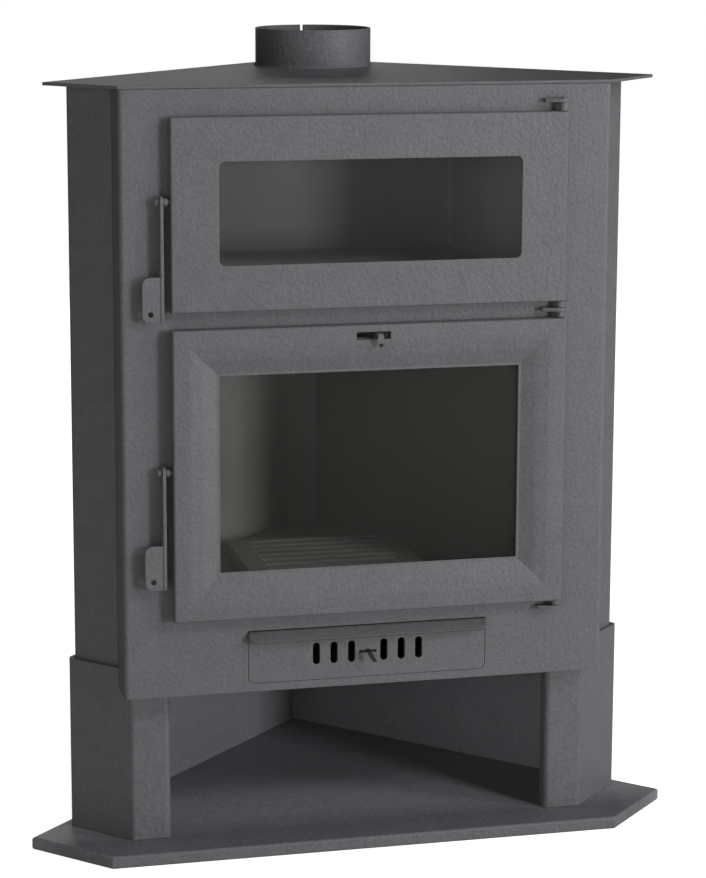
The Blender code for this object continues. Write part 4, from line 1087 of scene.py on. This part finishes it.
secondValues = {
    "sheet": 0.002, "margin": 0.004, "windowGap": 0.0025, "softEdge": 0.0003,
    "slotLow": 0.6424, "slotHeight": 0.009, "slotLeft": -0.0197,
    "tabLeft": 0.0042, "tabWidth": 0.007, "tabReach": 0.0075, "tabDrop": 0.0095,
    "tipWidth": 0.0042, "tipHeight": 0.0046, "tipSheet": 0.0028, "tipCorner": 0.0008,
}


def makeSecondSlide(values):
    low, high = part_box("second_air_slide")
    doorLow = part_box("fire_door_skin")[0]
    sheet = values["sheet"]
    front = high.y - sheet
    foot = values["slotLow"] - values["margin"]
    head = values["slotLow"] + values["slotHeight"] + values["margin"]
    shape = upright(squareBox(low.x, high.x, foot, head), front, high.y)
    window = squareBox(
        values["slotLeft"], values["tabLeft"] - values["windowGap"],
        values["slotLow"], values["slotLow"] + values["slotHeight"],
    )
    shape = booleanShape(shape, upright(window, front - cutReach, high.y + cutReach))
    start = high.y - drawerValues["tabRoot"]
    reach = start - doorLow.y + values["tabReach"]
    middle = values["slotLow"] + values["slotHeight"] / 2
    tabRight = values["tabLeft"] + values["tabWidth"]
    top = middle + sheet / 2
    straight = {**drawerValues, "tabRake": 0.0}
    tab = controlTab(straight, values["tabLeft"], tabRight, start, reach, values["tabDrop"], top)
    tipHigh = top - values["tabDrop"]
    tipLow = tipHigh - values["tipHeight"]
    tipLeft = tabRight - values["tipWidth"]
    tip = roundedBox(tipLeft, tabRight, tipLow, tipHigh, values["tipCorner"], steps=4)
    tip = upright(tip, start - reach, start - reach + values["tipSheet"])
    # the plate behind the slot and the tip at the tab's foot are near-black: painted shade
    finishPiece(
        "secondSlidePlate", shape, ["second_air_slide"], values["softEdge"],
        body="second_air", finish="paintedShadeBlack",
    )
    finishPiece("secondSlideTab", tab, [], values["softEdge"], body="second_air")
    finishPiece("secondSlideTip", tip, [], values["softEdge"], body="second_air", finish="paintedShadeBlack")


makeDrawer(drawerValues)
makePrimarySlide(drawerValues)
makeSecondSlide(secondValues)
print("ash drawer and air slides made")


# firebox and oven inside

grateValues = {
    "slots": 7, "pitch": 0.0226, "slotLength": 0.172, "slotWidth": 0.011,
    "softEdge": 0.0012, "edgeSegments": 4,
}


def makeGrate(values):
    low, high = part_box("fire_grate")
    middleX = (low.x + high.x) / 2
    middleY = (low.y + high.y) / 2
    shape = level(squareBox(low.x, high.x, low.y, high.y), low.z, high.z)
    first = middleY - values["pitch"] * (values["slots"] - 1) / 2
    half = values["slotLength"] / 2
    slots = []
    for index in range(values["slots"]):
        across = first + values["pitch"] * index
        outline = slotPoints(across, middleX - half, middleX + half, values["slotWidth"])
        slots.append(level([(x, y) for y, x in outline], low.z - cutReach, high.z + cutReach))
    shape = booleanShape(shape, joinedShapes(*slots))
    # the grate takes a lighter copy of the cast iron: painted light
    finishPiece(
        "grateCast", shape, ["fire_grate"], values["softEdge"],
        slotName="cast_iron", finish="litHearthIron", segments=values["edgeSegments"],
    )


ovenValues = {
    "sheet": 0.003, "innerBend": 0.005, "backHalfWidth": 0.164, "mouthHalfWidth": 0.203,
    "softEdge": 0.0004,
}


def makeOvenBox(values):
    low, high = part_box("oven_box")
    sheet = values["sheet"]
    mouth = values["mouthHalfWidth"]
    back = values["backHalfWidth"]
    slope = (mouth - back) / (high.y - sheet - low.y)
    outer = [(low.x, low.y), (high.x, low.y), (back + sheet, high.y), (-back - sheet, high.y)]
    reach = mouth + slope * cutReach
    front = low.y - cutReach
    inner = [(-reach, front), (reach, front), (back, high.y - sheet), (-back, high.y - sheet)]
    space = level(inner, low.z + sheet, high.z - sheet)
    wallY = low.y + cutReach
    bends = [edge for edge in space.edges if max(vert.co.y for vert in edge.verts) > wallY]
    roundEdges(space, bends, values["innerBend"], segments=6)
    shape = booleanShape(level(outer, low.z, high.z), space)
    finishPiece("ovenBoxFolded", shape, ["oven_box"], values["softEdge"], slotName="inner_steel")


makeGrate(grateValues)
makeOvenBox(ovenValues)
print("grate and oven made")
